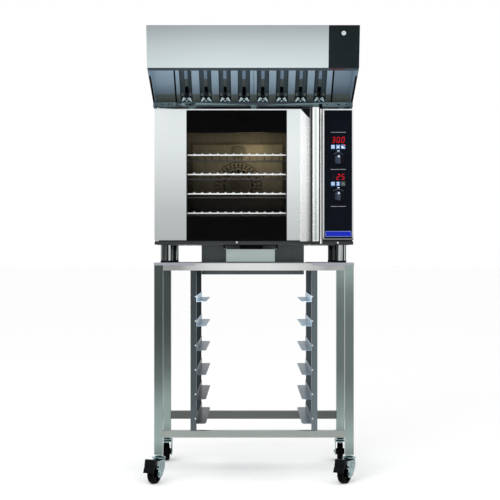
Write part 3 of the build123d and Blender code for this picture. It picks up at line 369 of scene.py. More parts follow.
def glow(name, color, strength, dark=0.6):
    m = bpy.data.materials.new(name)
    m.use_nodes = True
    n = Nodes(m.node_tree)
    tc = n.add("ShaderNodeTexCoord").outputs["Object"]
    ripple = n.noise(tc, s=600.0, detail=2.0)
    col = n.mix(n.remap(ripple, 0.3, 0.7, 0.0, 1.0), tuple(c * dark for c in color), color)
    b = n.add("ShaderNodeBsdfPrincipled")
    n.link(col, b.inputs["Base Color"])
    n.link(col, b.inputs["Emission Color"])
    b.inputs["Emission Strength"].default_value = strength
    b.inputs["Roughness"].default_value = 0.4
    b.inputs["Specular IOR Level"].default_value = 0.1
    o = n.add("ShaderNodeOutputMaterial")
    n.link(b.outputs[0], o.inputs[0])
    return m


def chrome_painted_reflection(name):
    """Chrome tube with painted reflections: hard light and dark streaks painted into its colour along its length."""
    m = bpy.data.materials.new(name)
    m.use_nodes = True
    n = Nodes(m.node_tree)
    tc = n.add("ShaderNodeTexCoord").outputs["Object"]
    streak = n.noise(tc, scale=(95, 95, 0.6), s=1.0, detail=2.0, rough=0.6, offset=(0.37, 0.2, 0.1))
    fine = n.noise(tc, scale=(420, 420, 3), s=1.0, detail=2.0, offset=(2, 1, 0))
    # painted reflections: bands from near-black to bright in the base colour
    col = n.ramp(n.math("ADD", n.math("MULTIPLY", streak, 0.85), n.math("MULTIPLY", fine, 0.15)),
                 [(0.30, lin((120, 126, 128))), (0.41, lin((40, 43, 44))), (0.46, lin((16, 17, 18))), (0.50, lin((60, 64, 65))), (0.545, lin((150, 156, 158))), (0.60, lin((216, 220, 221))), (0.70, lin((70, 74, 75)))])
    b = n.add("ShaderNodeBsdfPrincipled")
    b.inputs["Metallic"].default_value = 1.0
    n.link(col, b.inputs["Base Color"])
    n.link(n.remap(fine, 0.3, 0.7, 0.05, 0.12), b.inputs["Roughness"])
    o = n.add("ShaderNodeOutputMaterial")
    n.link(b.outputs[0], o.inputs[0])
    return m


# height stops (mm, display level) of painted light and shade for the stand legs, door skins and hood fascia
LEG_L = [(120, 205), (183, 255), (305, 240), (427, 172), (548, 140), (670, 124), (865, 128)]
LEG_R = [(120, 205), (183, 255), (305, 212), (427, 182), (670, 180), (780, 200), (865, 250)]
SKIN_L = [(990, 190), (1015, 193), (1117, 202), (1239, 224), (1361, 241), (1443, 247), (1530, 252)]
SKIN_R = [(990, 204), (1117, 222), (1239, 243), (1361, 252), (1530, 255)]
FASCIA = [(1655, 252), (1700, 242), (1735, 232), (1770, 216), (1800, 200)]
M = {}
# stand: painted light and shade by height (zx) and going back (depth); inner faces take a lighter copy of the steel as
# painted light
M["stand"] = brushed("stand_steel", (147, 162, 159), 0.26, 0.38, grain=(500, 500, 6), cloud=3.0, bump=0.05, zx=(-300, 300, LEG_L, LEG_R), depth=(60, 340, 1.0, 1.15))
M["stand_inner"] = brushed("stand_inner_painted_light", (196, 214, 212), 0.26, 0.38, grain=(500, 500, 6), cloud=3.0, bump=0.05, zx=(-300, 300, LEG_L, LEG_R), depth=(60, 400, 1.0, 0.5))
M["upright"] = brushed("upright_steel", (112, 123, 129), 0.26, 0.38, grain=(500, 500, 6), cloud=3.0, bump=0.05, zx=(-200, 200, [(230, 200), (400, 180), (870, 145)], [(230, 240), (870, 205)]), depth=(60, 400, 1.0, 0.55))
# rails and runners: painted light and shade across X (xr), by height (zx) and going back (depth)
M["rail_top"] = brushed("rail_top_steel", (240, 248, 242), 0.26, 0.38, grain=(6, 500, 500), cloud=3.0, bump=0.05, k=1.2, depth=(60, 400, 1.0, 0.42),
                        xr=[(-400, 168), (-330, 160), (-300, 164), (-268, 194), (-180, 224), (-60, 232), (60, 232), (170, 222), (262, 196), (300, 174), (345, 180), (400, 176)])
M["rail"] = brushed("rail_steel", (224, 231, 226), 0.26, 0.38, grain=(6, 500, 500), cloud=3.0, bump=0.05,
                    zx=(-380, 380, [(190, 174), (260, 174), (840, 232), (905, 240)], [(190, 170), (260, 170), (840, 230), (905, 238)]), depth=(60, 400, 1.0, 0.42))
M["runner"] = brushed("runner_steel", (196, 222, 255), 0.25, 0.38, grain=(400, 6, 400), cloud=4.0, var=0.1, metallic=0.2, spec=0.05,
                      zx=(-200, 200, [(250, 50), (420, 92), (570, 136), (680, 205), (770, 255)], [(250, 122), (450, 144), (570, 168), (680, 215), (770, 255)]))
# door skins and handle: painted light and shade by height; on the handle, xr paints a dark band down the cove's steep
# side, painted reflection of dark surroundings, before the bright grip
M["skin"] = brushed("door_steel", (231, 240, 238), 0.33, 0.37, grain=(500, 500, 5), cloud=7.0, bump=0.01, var=0.02, zx=(-300, 150, SKIN_L, SKIN_R), k=1.2)
M["handle"] = brushed("handle_aluminium", (240, 248, 245), 0.24, 0.30, grain=(500, 500, 4), cloud=7.0, bump=0.005, var=0.02, zx=(150, 300, SKIN_R, SKIN_R), k=1.16, metallic=0.82, spec=0.1,
                      xr=[(186, 248), (208, 246), (220, 244), (223, 200), (226.5, 140), (229.2, 62), (233.8, 62), (234.9, 255), (262, 255)])
M["case"] = brushed("case_steel", (190, 199, 200), 0.30, 0.42, grain=(5, 5, 500), cloud=4.0)
M["bright"] = brushed("bright_steel", (238, 240, 240), 0.14, 0.24, grain=(6, 500, 500), cloud=8.0, bump=0.02)
# hood fascia: painted reflection, lighter low down and darker high up, 4% darker at the left end
M["hood"] = brushed("hood_steel", (214, 224, 227), 0.25, 0.275, grain=(4, 500, 500), cloud=2.0, bump=0.003, var=0.010, zx=(-409, -150, [(z, v * 0.96) for z, v in FASCIA], FASCIA))
M["hood_side"] = brushed("hood_side_steel", (196, 207, 212), 0.26, 0.36, grain=(500, 4, 500), cloud=3.0)
# under the hood: painted shade, darker low down (zx); flank is a darker shaded copy of the filter steel; row2 is
# painted near-black below 1636 mm
M["filler"] = brushed("filler_steel", (138, 158, 174), 0.26, 0.40, grain=(6, 200, 200), cloud=6.0, zx=(-300, 300, [(1585, 146), (1603, 194), (1640, 236), (1720, 246)], [(1585, 130), (1603, 168), (1640, 206), (1720, 218)]), metallic=0.35)
M["filter"] = brushed("filter_steel", (134, 153, 168), 0.26, 0.40, grain=(500, 6, 6), cloud=6.0, zx=(-300, 300, [(1572, 120), (1592, 150), (1602, 215), (1640, 245), (1720, 255)], [(1572, 120), (1592, 150), (1602, 215), (1640, 245), (1720, 255)]), metallic=0.35)
M["flank"] = brushed("filter_flank_shade", (66, 78, 84), 0.34, 0.50, grain=(260, 6, 6), cloud=6.0, var=0.24, metallic=0.35)
M["row2"] = brushed("filter_back_row", (128, 148, 170), 0.24, 0.36, grain=(400, 6, 6), cloud=6.0, var=0.1,
                    zx=(-300, 300, [(1590, 10), (1636, 12), (1640, 255), (1760, 255)], [(1590, 10), (1636, 12), (1640, 255), (1760, 255)]), metallic=0.35)
M["olive"] = brushed("filter_olive_steel", (88, 95, 91), 0.3, 0.5, grain=(200, 20, 20), cloud=14.0, var=0.16, metallic=0.35)
M["rail_low"] = brushed("filter_rail_steel", (130, 154, 160), 0.26, 0.40, grain=(6, 300, 300), cloud=6.0, metallic=0.35)
M["bracket"] = brushed("rail_bracket_steel", (142, 164, 170), 0.24, 0.36, grain=(6, 300, 300), cloud=12.0, metallic=0.35)
M["duct"] = brushed("duct_steel", (98, 104, 106), 0.32, 0.46, grain=(300, 300, 6), cloud=9.0, var=0.14)
M["tray"] = brushed("tray_steel", (166, 178, 176), 0.26, 0.38, grain=(5, 500, 500), cloud=9.0, var=0.06)
# dark: the front frame and door pan drawn dark, painted shade
M["dark"] = plastic("dark_painted_shade", (24, 24, 25), 0.28, 0.45, grain=700, bump=0.05, spec=0.12)
# black: dark gaps, flanges and undersides, painted shade
M["black"] = plastic("black_gap_shade", (5, 5, 6), 0.5, 0.7, grain=700, bump=0.02, spec=0.03)
# oven interior and fan guard: painted light and shade, a glow high up falling dark towards the floor and at the very
# top; cavity_back adds a near-black painted shadow box behind the fan baffle
M["cavity"] = brushed("cavity_steel", (140, 129, 103), 0.34, 0.52, grain=(60, 60, 8), cloud=4.0, bump=0.06, tint=(80, 66, 48), var=0.14, metallic=0.3,
                      zx=(-330, 195, [(1016, 12), (1120, 22), (1178, 42), (1230, 80), (1330, 140), (1420, 150), (1470, 110), (1482, 26)], [(1016, 14), (1120, 30), (1178, 62), (1230, 125), (1330, 175), (1420, 170), (1470, 120), (1482, 26)]))
M["cavity_back"] = brushed("cavity_back_steel", (140, 129, 103), 0.34, 0.52, grain=(60, 60, 8), cloud=4.0, bump=0.06, tint=(80, 66, 48), var=0.14, metallic=0.3, shade=(-262, 120, 1065, 1413),
                           zx=(-330, 195, [(1016, 12), (1120, 22), (1178, 42), (1230, 80), (1330, 140), (1420, 182), (1483, 150)], [(1016, 14), (1120, 30), (1178, 62), (1230, 125), (1330, 175), (1420, 208), (1483, 160)]))
M["guard"] = brushed("guard_steel", (150, 139, 108), 0.30, 0.46, grain=(60, 60, 8), cloud=4.0, bump=0.06, tint=(80, 66, 48), var=0.14, metallic=0.3,
                     zx=(-268, 126, [(1040, 12), (1120, 26), (1178, 50), (1230, 90), (1330, 158), (1423, 172)], [(1040, 16), (1120, 36), (1178, 74), (1230, 145), (1330, 216), (1423, 218)]))
M["guard_dark"] = brushed("guard_shadow", (62, 50, 36), 0.34, 0.5, grain=(60, 60, 8), cloud=6.0, bump=0.05, metallic=0.3,
                          zx=(-268, 126, [(1130, 90), (1230, 160), (1340, 255)], [(1130, 90), (1230, 180), (1340, 255)]))
M["vent_cover"] = brushed("vent_cover_steel", (92, 86, 66), 0.3, 0.46, grain=(60, 60, 8), cloud=6.0, bump=0.05, metallic=0.3)
# rack wire: painted shade, the colour falling to 15% from 64 to 84 mm back
M["wire"] = brushed("rack_chrome", (246, 246, 243), 0.16, 0.28, grain=(80, 80, 80), cloud=20.0, bump=0.02, metallic=0.2, k=1.6, depth=(64, 84, 1.0, 0.15))
M["zinc"] = brushed("caster_zinc", (150, 167, 169), 0.12, 0.26, grain=(90, 90, 90), cloud=30.0, bump=0.08, tint=(60, 84, 90), var=0.5)
M["tyre"] = plastic("caster_rubber", (5, 5, 6), 0.30, 0.5, grain=500, bump=0.12, spec=0.03)
M["hub"] = plastic("caster_hub", (58, 60, 62), 0.35, 0.5, grain=500, bump=0.08, spec=0.3)
M["pedal"] = plastic("pedal_plastic", (12, 13, 15), 0.30, 0.45, grain=900, bump=0.10, spec=0.045)
M["panel"] = plastic("panel_glass", (9, 12, 18), 0.05, 0.12, grain=60, bump=0.0, spec=0.01)
M["print"] = plastic("door_print", (5, 5, 5), 0.05, 0.10, grain=60, bump=0.0, spec=0.008)
M["hood_panel"] = plastic("hood_panel", (16, 22, 24), 0.34, 0.42, grain=900, bump=0.02, spec=0.03)
M["lip"] = plastic("lip_painted_shade", (42, 50, 54), 0.34, 0.46, grain=900, bump=0.05, spec=0.06)
M["clip"] = brushed("clip_steel", (216, 240, 248), 0.2, 0.3, grain=(300, 300, 300), cloud=30.0, metallic=0.12, k=1.08)
# a darker bluish copy of the hood steel for inward faces, painted shade
M["inner_blue"] = brushed("hood_inner_steel", (142, 162, 178), 0.28, 0.42, grain=(6, 200, 200), cloud=6.0, metallic=0.35)
M["knob"] = plastic("knob_plastic", (11, 13, 17), 0.2, 0.32, grain=900, bump=0.03, spec=0.05, coat=0.02)
# knob face, flank and glint finishes: painted reflection and highlight on the black knob plastic
M["knob_face_sheen"] = plastic("knob_face_sheen", (38, 44, 56), 0.2, 0.32, grain=900, bump=0.03, spec=0.14, coat=0.05)
M["knob_glint"] = plastic("knob_glint", (150, 160, 176), 0.2, 0.3, grain=900, bump=0.0, spec=0.2)
# trim: xr paints a bright highlight down its rounded edge, dark either side
M["trim"] = brushed("trim_steel", (240, 247, 246), 0.2, 0.3, grain=(500, 500, 4), cloud=7.0, bump=0.005, var=0.02, metallic=0.3, k=1.2,
                    xr=[(266, 24), (268.9, 30), (269.8, 190), (270.6, 236), (273.6, 232), (275.4, 160), (276.2, 140), (280, 150)])
# control housing: painted shade, dark along its foot and lightening upwards
M["housing"] = brushed("housing_steel", (233, 239, 238), 0.30, 0.38, grain=(500, 500, 5), cloud=7.0, bump=0.01, var=0.02, zx=(-300, 150, [(985, 96), (998.5, 104), (1000.8, 176), (1020, 214), (1520, 250), (1530, 255)], [(985, 96), (998.5, 104), (1000.8, 176), (1020, 214), (1520, 250), (1530, 255)]), k=1.17)
# darker grip stripe: painted shade
M["handle_dim"] = brushed("handle_stripe_shade", (212, 224, 217), 0.24, 0.34, grain=(500, 500, 4), cloud=7.0, bump=0.01, var=0.03, zx=(150, 300, SKIN_R, SKIN_R))
M["knob_side"] = plastic("knob_flank_sheen", (58, 70, 92), 0.25, 0.38, grain=900, bump=0.03, spec=0.2)
M["key"] = plastic("key_plastic", (70, 98, 138), 0.30, 0.42, grain=900, bump=0.03, spec=0.2)
M["key_dim"] = plastic("key_dim", (52, 58, 56), 0.30, 0.42, grain=900, bump=0.03, spec=0.2)
M["icon"] = plastic("key_icon", (196, 208, 222), 0.35, 0.45, grain=900, bump=0.0, spec=0.2)
M["icon_dim"] = plastic("key_icon_dim", (96, 102, 98), 0.35, 0.45, grain=900, bump=0.0, spec=0.2)
M["icon_dark"] = plastic("key_icon_dark", (30, 42, 60), 0.35, 0.45, grain=900, bump=0.0, spec=0.1)
M["door_pane"] = pane("door_pane", (0.004, 0.004, 0.004), 0.07, 0.02, 0.04)
M["inner_pane"] = pane("inner_pane", (0.004, 0.004, 0.004), 0.03, 0.02, 0.03)
M["lamp_glass"] = pane("lamp_glass", (0.95, 0.85, 0.65), 0.55, 0.08, 0.5)
M["chrome"] = chrome_painted_reflection("foot_chrome")
M["seal"] = plastic("seal_rubber", (30, 30, 30), 0.5, 0.7, grain=500, bump=0.1, spec=0.15)
M["fibre"] = plastic("fibre_blanket", (190, 182, 164), 0.85, 0.95, grain=250, bump=0.5, spec=0.2)
M["element"] = brushed("element_steel", (30, 27, 24), 0.40, 0.55, grain=(90, 90, 90), cloud=25.0)
M["motor"] = plastic("motor_paint", (40, 41, 42), 0.40, 0.55, grain=700, bump=0.06)
M["rotor"] = brushed("rotor_aluminium", (44, 40, 34), 0.35, 0.5, grain=(60, 60, 60), cloud=12.0)
M["board"] = plastic("board_green", (24, 88, 56), 0.35, 0.5, grain=900, bump=0.05)
M["blower"] = brushed("blower_zinc", (176, 182, 186), 0.35, 0.5, grain=(60, 60, 60), cloud=14.0)
M["screw"] = brushed("screw_steel", (214, 214, 214), 0.16, 0.28, grain=(200, 200, 200), cloud=30.0)
M["screw_dark"] = brushed("screw_dark", (70, 78, 80), 0.2, 0.34, grain=(200, 200, 200), cloud=30.0)
# gutter: the oven base drawn dark, painted shade and dark reflection
M["gutter"] = plastic("gutter_painted_shade", (33, 36, 38), 0.26, 0.40, grain=700, bump=0.04, spec=0.16)
M["plate"] = brushed("corner_plate_steel", (164, 166, 174), 0.26, 0.38, grain=(6, 200, 200), cloud=8.0)
# groove finish: painted shade in the groove between cove and grip
M["groove"] = brushed("handle_groove_shade", (66, 72, 74), 0.3, 0.4, grain=(500, 500, 4), cloud=7.0)
M["red_glow"] = glow("digit_red", (0.62, 0.006, 0.014), 0.62)
M["red_ghost"] = plastic("digit_ghost", (34, 20, 22), 0.4, 0.5, grain=900, bump=0.0, spec=0.03)
M["mark"] = plastic("panel_mark", (112, 112, 120), 0.4, 0.5, grain=900, bump=0.0, spec=0.1)
M["mark_dim"] = plastic("panel_mark_dim", (84, 88, 98), 0.4, 0.5, grain=900, bump=0.0, spec=0.1)
M["plate_blue"] = plastic("plate_blue", (4, 24, 132), 0.22, 0.32, grain=900, bump=0.02, spec=0.1, var=0.06)
M["plate_edge"] = plastic("plate_edge", (120, 134, 190), 0.3, 0.4, grain=900, bump=0.02, spec=0.2)
# painted reflection of the red indicator light
M["red_led_reflection"] = plastic("red_led_reflection", (58, 14, 24), 0.3, 0.4, grain=900, bump=0.02, spec=0.2)

CAD_LOOK = {
    "stand_legs": ("stand", 0.8), "stand_rails": ("rail", 0.6), "runner_uprights": ("upright", 0.6), "tray_runners": ("runner", 0.25),
    "caster_stems": ("zinc", 0.3), "oven_case": ("case", 0.5), "oven_base": ("gutter", 0.3), "front_frame": ("dark", 0.3),
    "cavity_liner": ("cavity", 0.3), "insulation": ("fibre", 0.0), "door_seal": ("seal", 0.8), "fan_baffle": ("guard", 0.25),
    "heating_element": ("element", 0.0), "fan_motor": ("motor", 0.6), "oven_lamp": ("lamp_glass", 0.3), "side_racks": ("wire", 0.0),
    "control_housing": ("housing", 0.4), "control_glass": ("panel", 0.2), "control_board": ("board", 0.0), "hinge_brackets": ("screw", 0.3),
    "fan_rotor": ("rotor", 0.2), "wire_rack_1": ("wire", 0.0), "wire_rack_2": ("wire", 0.0), "wire_rack_3": ("wire", 0.0),
    "wire_rack_4": ("wire", 0.0), "drip_tray": ("tray", 0.3), "door_pan": ("dark", 0.3), "door_skins": ("skin", 0.4),
    "door_glass_outer": ("door_pane", 0.3), "door_glass_inner": ("inner_pane", 0.3), "hood_shell": ("hood_side", 0.4),
    "hood_fascia": ("hood", 0.3), "hood_control_panel": ("hood_panel", 0.4), "hood_button": ("screw", 0.3),
    "filter_frame": ("filler", 0.3), "grease_filters": ("filter", 0.3), "hood_blower": ("blower", 0.4), "blower_wheel": ("blower", 0.2),
    "rear_duct": ("duct", 0.6), "oven_feet": ("chrome", 0.4), "screws": ("screw", 0.3), "door_handle": ("handle", 0.4),
    "knob_temperature": ("knob", 0.4), "knob_timer": ("knob", 0.4),
}
for k in ("fl", "fr", "rl", "rr"):
    CAD_LOOK["caster_fork_" + k] = ("zinc", 0.3)
    CAD_LOOK["caster_wheel_" + k] = ("tyre", 0.5)
for k in ("fl", "fr"):
    CAD_LOOK["caster_pedal_" + k] = ("pedal", 0.6)
for k in range(1, 7):
    CAD_LOOK["key_%d" % k] = ("key_dim" if k == 6 else "key", 0.3)


def dress(node, mat, bevel):
    """A better finish on a carried-over CAD node: welded, softly rounded edges, smooth curved faces."""
    ob = N[node]
    ob.data.materials.clear()
    ob.data.materials.append(M[mat])
    for p in ob.data.polygons:
        p.material_index = 0
        p.use_smooth = True
    wd = ob.modifiers.new("weld", "WELD")
    wd.merge_threshold = 0.00001
    if bevel > 0:
        bv = ob.modifiers.new("edges", "BEVEL")
        bv.width = bevel / 1000.0
        bv.segments = 2
        bv.limit_method = "ANGLE"
        bv.angle_limit = math.radians(40)
        bv.use_clamp_overlap = True
    wn = ob.modifiers.new("flats", "WEIGHTED_NORMAL")
    wn.weight = 80


for node, (mat, bevel) in CAD_LOOK.items():
    dress(node, mat, bevel)


def paint(node, mats, pick):
    """Per-face finish: pick(x, y, z, nx, ny, nz) in oven coordinates gives an index into [first finish] + mats."""
    me = N[node].data
    for m in mats:
        me.materials.append(M[m])
    for p in me.polygons:
        c = p.center
        p.material_index = pick(c.x * 1000 - OX, c.y * 1000 - OY, c.z * 1000 + FLOOR, p.normal.x, p.normal.y, p.normal.z)


SY, SZ = 0.822, 0.569


def bank_nw(y, z):
    """Depth behind the filters' face, and distance up the slope."""
    return ((y - 140) * SZ + (z - 1572) * SY, -(y - 140) * SY + (z - 1572) * SZ)


CH = (-280.0, -199.0, -119.5, -41.0, 37.0, 116.0, 194.5, 273.0)


def pick_filter(x, y, z, nx, ny, nz):
    d, up_w = bank_nw(y, z)
    # faces at the filters' face and not turned sideways keep the filter finish; the rest take the flank finish, painted
    # shade
    if d < 2.0 and abs(nx) < 0.5:
        return 0
    return 1


paint("grease_filters", ["flank"], pick_filter)
# hood sides: bottom flanges black, painted shade; inward faces in a darker bluish copy of the steel, painted shade
paint("hood_shell", ["black", "inner_blue"], lambda x, y, z, nx, ny, nz: 1 if (y < -12 and z < 1652 and (x < -391 or x > 383) and abs(nx) < 0.5)
      else 2 if (z < 1800 and ((x < -395 and nx > 0.5) or (x > 390 and nx < -0.5))) else 0)
# the liner's back wall takes cavity_back, with its painted shadow box
paint("cavity_liner", ["cavity_back"], lambda x, y, z, nx, ny, nz: 1 if y > 440 else 0)
# baffle faces behind its front plane take the guard shadow finish, painted shadow; the vent disc takes the vent cover
# finish
paint("fan_baffle", ["guard_dark", "vent_cover"], lambda x, y, z, nx, ny, nz: 2 if (y < 404.9 and math.hypot(x + 68, z - 1386) < 37.6) else 1 if y < 404.9 else 0)
# door pan: downward faces over the window black, painted shade
paint("door_pan", ["black"], lambda x, y, z, nx, ny, nz: 1 if (nz < -0.7 and 1400 < z < 1500) else 0)
paint("filter_frame", ["rail_low"], lambda x, y, z, nx, ny, nz: 1 if y > 130 and z < 1566 else 0)
# handle: black beyond the cove at top and bottom; faces in the groove take the groove finish, painted shade
paint("door_handle", ["pedal", "groove"], lambda x, y, z, nx, ny, nz: 1 if ((z > 1483.9 or z < 998.6) and y > -36.9 and math.hypot(x - 188, y + 38) > 40.7)
      else 2 if (229.5 < x < 234.5 and y < -45) else 0)
# the housing's rounded left edge takes the trim finish with its painted highlight
paint("control_housing", ["trim"], lambda x, y, z, nx, ny, nz: 1 if x < 279 else 0)
# inward-facing leg faces: the lighter painted-light copy of the stand steel
paint("stand_legs", ["stand_inner"], lambda x, y, z, nx, ny, nz: 1 if (nx * x < 0 and abs(nx) > 0.7) else 0)
paint("oven_feet", ["pedal"], lambda x, y, z, nx, ny, nz: 1 if z < 911.5 else 0)
paint("stand_rails", ["plate", "rail_top"], lambda x, y, z, nx, ny, nz: 1 if ((z > 901.2 and abs(x) > 340) or (z > 890 and y < -15.15 and abs(x) > 236)) else 2 if z > 800 else 0)
# screws above 1400 mm take the dark screw finish: painted shade
paint("screws", ["screw_dark"], lambda x, y, z, nx, ny, nz: 1 if z > 1400 else 0)


# ---------------------------------------------------------------------------
# Detail pieces
# ---------------------------------------------------------------------------
class Geo:
    """Mesh in oven coordinates, a finish index per face."""

    def __init__(self):
        self.v, self.f, self.m = [], [], []

    def add(self, pts, faces, m=0):
        b = len(self.v)
        self.v += [tuple(p) for p in pts]
        self.f += [tuple(b + i for i in f) for f in faces]
        self.m += [m] * len(faces)

    def loft(self, rings, m=0, cap=True):
        k = len(rings[0])
        pts = [p for r in rings for p in r]
        faces = []
        for j in range(len(rings) - 1):
            for i in range(k):
                i2 = (i + 1) % k
                faces.append((j * k + i, j * k + i2, (j + 1) * k + i2, (j + 1) * k + i))
        if cap:
            faces.append(tuple(range(k - 1, -1, -1)))
            faces.append(tuple((len(rings) - 1) * k + i for i in range(k)))
        self.add(pts, faces, m)

    def prism_y(self, outline, y0, y1, m=0):
        self.loft([[(x, y, z) for x, z in outline] for y in (y0, y1)], m)

    def box(self, x0, x1, y0, y1, z0, z1, m=0):
        self.prism_y([(x0, z0), (x1, z0), (x1, z1), (x0, z1)], y0, y1, m)

    def bank_box(self, outline, n0, n1, m=0):
        """Outline in (x, distance up the slope), between two depths behind the filters' face."""
        self.loft([[(x, 140 + d * SZ - u * SY, 1572 + d * SY + u * SZ) for x, u in outline] for d in (n0, n1)], m)

    def disc_y(self, cx, cz, r, y0, y1, m=0, seg=28):
        self.prism_y([(cx + r * math.cos(2 * math.pi * i / seg), cz + r * math.sin(2 * math.pi * i / seg)) for i in range(seg)], y0, y1, m)

    def lathe_y(self, cx, cz, profile, m=0, seg=48):
        rings = [[(cx + r * math.cos(2 * math.pi * i / seg), y, cz + r * math.sin(2 * math.pi * i / seg)) for i in range(seg)] for r, y in profile]
        self.loft(rings, m)

    def arc_y(self, cx, cz, r0, r1, a0, a1, y0, y1, m=0, seg=24):
        out = [(cx + r1 * math.sin(a0 + (a1 - a0) * i / seg), cz + r1 * math.cos(a0 + (a1 - a0) * i / seg)) for i in range(seg + 1)]
        out += [(cx + r0 * math.sin(a1 - (a1 - a0) * i / seg), cz + r0 * math.cos(a1 - (a1 - a0) * i / seg)) for i in range(seg + 1)]
        for i in range(seg):
            q = [out[i], out[i + 1], out[2 * seg - i], out[2 * seg + 1 - i]]
            self.prism_y(q, y0, y1, m)

    def make(self, name, mats, ride=ROOT, replaces=None, bevel=0.0, smooth=False, weld=False):
        me = bpy.data.meshes.new(name)
        me.from_pydata([tuple(W(*p)) for p in self.v], [], self.f)
        for m in mats:
            me.materials.append(M[m])
        for p, mi in zip(me.polygons, self.m):
            p.material_index = mi
            p.use_smooth = smooth or bevel > 0
        bm = bmesh.new()
        bm.from_mesh(me)
        if weld:
            bmesh.ops.remove_doubles(bm, verts=bm.verts, dist=1e-6)
        bmesh.ops.recalc_face_normals(bm, faces=bm.faces)
        bm.to_mesh(me)
        bm.free()
        me.update()
        ob = bpy.data.objects.new(name, me)
        bpy.context.scene.collection.objects.link(ob)
        if bevel > 0:
            bv = ob.modifiers.new("edges", "BEVEL")
            bv.width = bevel / 1000.0
            bv.segments = 2
            bv.limit_method = "ANGLE"
            bv.angle_limit = math.radians(35)
            bv.use_clamp_overlap = True
            ob.modifiers.new("flats", "WEIGHTED_NORMAL").weight = 80
        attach(ob, ride)
        if replaces:
            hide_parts(replaces)
        return ob


# printed black border of the door's glass, rounded at the window's corners
def corner(cx, cz, r, q, seg=8):
    """Fillet between the print's straight edge and the window's side, as a fan of points."""
    a0 = {"tl": 90, "tr": 0, "bl": 180, "br": 270}[q]
    return [(cx + r * math.cos(math.radians(a0 + 90.0 * i / seg)), cz + r * math.sin(math.radians(a0 + 90.0 * i / seg))) for i in range(seg + 1)]


g = Geo()
PX0, PX1, PR = -274.6, 133.6, 12.0
g.prism_y([(PX0, 1434), (PX1, 1434), (PX1, 1523.2), (PX0, 1523.2)], 0.12, 0.28)
g.prism_y([(PX0, 995.8), (PX1, 995.8), (PX1, 1089), (PX0, 1089)], 0.12, 0.28)
for (sx, qx) in ((PX0, 1), (PX1, -1)):
    for (sz, qz) in ((1434, -1), (1089, 1)):
        cx, cz = sx + qx * PR, sz + qz * PR
        q = {(1, -1): "tl", (-1, -1): "tr", (1, 1): "bl", (-1, 1): "br"}[(qx, qz)]
        arc = corner(cx, cz, PR, q)
        for i in range(len(arc) - 1):
            g.prism_y([(sx, sz), arc[i], arc[i + 1]], 0.12, 0.28)
g.make("door_glass_print", ["print"], ride="door")

# bright turned-up ends of the racks' long wires, over the front bar
for k in range(1, 5):
    g = Geo()
    z = 1351.8 - 80.0 * (k - 1)
    for i in range(12):
        x = -245.0 + 32.3 * i
        g.lathe_y(x, z - 1.2, [(0.6, 59.3), (1.9, 59.5), (2.7, 60.4), (3.0, 62.0), (2.6, 63.6), (1.2, 64.4)], 0, 14)
    g.make("rack_%d_wire_ends" % k, ["clip"], ride="rack_%d" % k, smooth=True)

# black corner piece at the top of the handle's cove, and a darker stripe down the grip's front, painted shade for its
# rounded, stepped profile
g = Geo()
g.prism_y([(190.8, 1528.0), (204.5, 1512.0), (204.5, 1528.0)], -0.4, -0.02)
g.make("handle_corner_black", ["pedal"], ride="door")
g = Geo()
g.box(243.5, 252.5, -60.3, -59.9, 992.0, 1526.0)
g.make("handle_shaded_stripe", ["handle_dim"], ride="door", bevel=0.1)

# raised panel marks, lines, displays
g = Geo()
for z in (1433.4, 1282.4, 1131.8):
    g.box(312.4, 374.3, 0.60, 0.76, z - 1.1, z + 1.1)
for z in (1357.3, 1207.5):
    g.box(339.0, 348.6, 0.60, 0.76, z - 1.2, z + 1.2, 1)
g.make("panel_lines", ["mark", "icon"])
g = Geo()
for z in (1323, 1174):
    g.arc_y(344, z, 27.2, 28.4, math.radians(-45), math.radians(45), 0.60, 0.76)
g.make("panel_arcs", ["mark_dim"])

SEGS = {"a": ((0, 2), (1, 2)), "b": ((1, 2), (1, 1)), "c": ((1, 1), (1, 0)), "d": ((0, 0), (1, 0)), "e": ((0, 1), (0, 0)), "f": ((0, 2), (0, 1)), "g": ((0, 1), (1, 1))}
LIT = {"0": "abcdef", "2": "abged", "3": "abgcd", "5": "afgcd", "8": "abcdefg"}


def digit(g, ch, x, z, w_mm, h_mm, t, m=0, y0=0.60, y1=0.76):
    half = h_mm / 2.0
    for s in LIT[ch]:
        (ax, az), (bx, bz) = SEGS[s]
        ax, bx = ax * w_mm, bx * w_mm
        az, bz = az * half, bz * half
        dx, dz = bx - ax, bz - az
        ln = math.hypot(dx, dz)
        ux, uz = dx / ln, dz / ln
        px, pz = -uz, ux
        e = t * 0.35
        pts = []
        for (du, dp) in ((e, 0), (e + t / 2, t / 2), (ln - e - t / 2, t / 2), (ln - e, 0), (ln - e - t / 2, -t / 2), (e + t / 2, -t / 2)):
            qx, qz = ax + ux * du + px * dp, az + uz * du + pz * dp
            pts.append((x + qx + qz * 0.14, z + qz))
        g.prism_y(pts, y0, y1, m)


g = Geo()
for i, ch in enumerate("300"):
    digit(g, ch, 317.4 + i * 19.2, 1391.8, 10.2, 21.6, 1.75)
for i, ch in enumerate("25"):
    digit(g, ch, 336.6 + i * 19.2, 1241.2, 10.2, 21.6, 1.75)
g.make("display_digits", ["red_glow"])
g = Geo()
digit(g, "8", 317.4, 1241.2, 10.2, 21.6, 1.75)
g.make("display_ghost_digit", ["red_ghost"])

# key symbols: plain strokes and shapes
def bar(g, x0, z0, x1, z1, t, y0=-1.16, y1=-1.0, m=0):
    ln = math.hypot(x1 - x0, z1 - z0)
    px, pz = -(z1 - z0) / ln * t / 2, (x1 - x0) / ln * t / 2
    g.prism_y([(x0 + px, z0 + pz), (x1 + px, z1 + pz), (x1 - px, z1 - pz), (x0 - px, z0 - pz)], y0, y1, m)


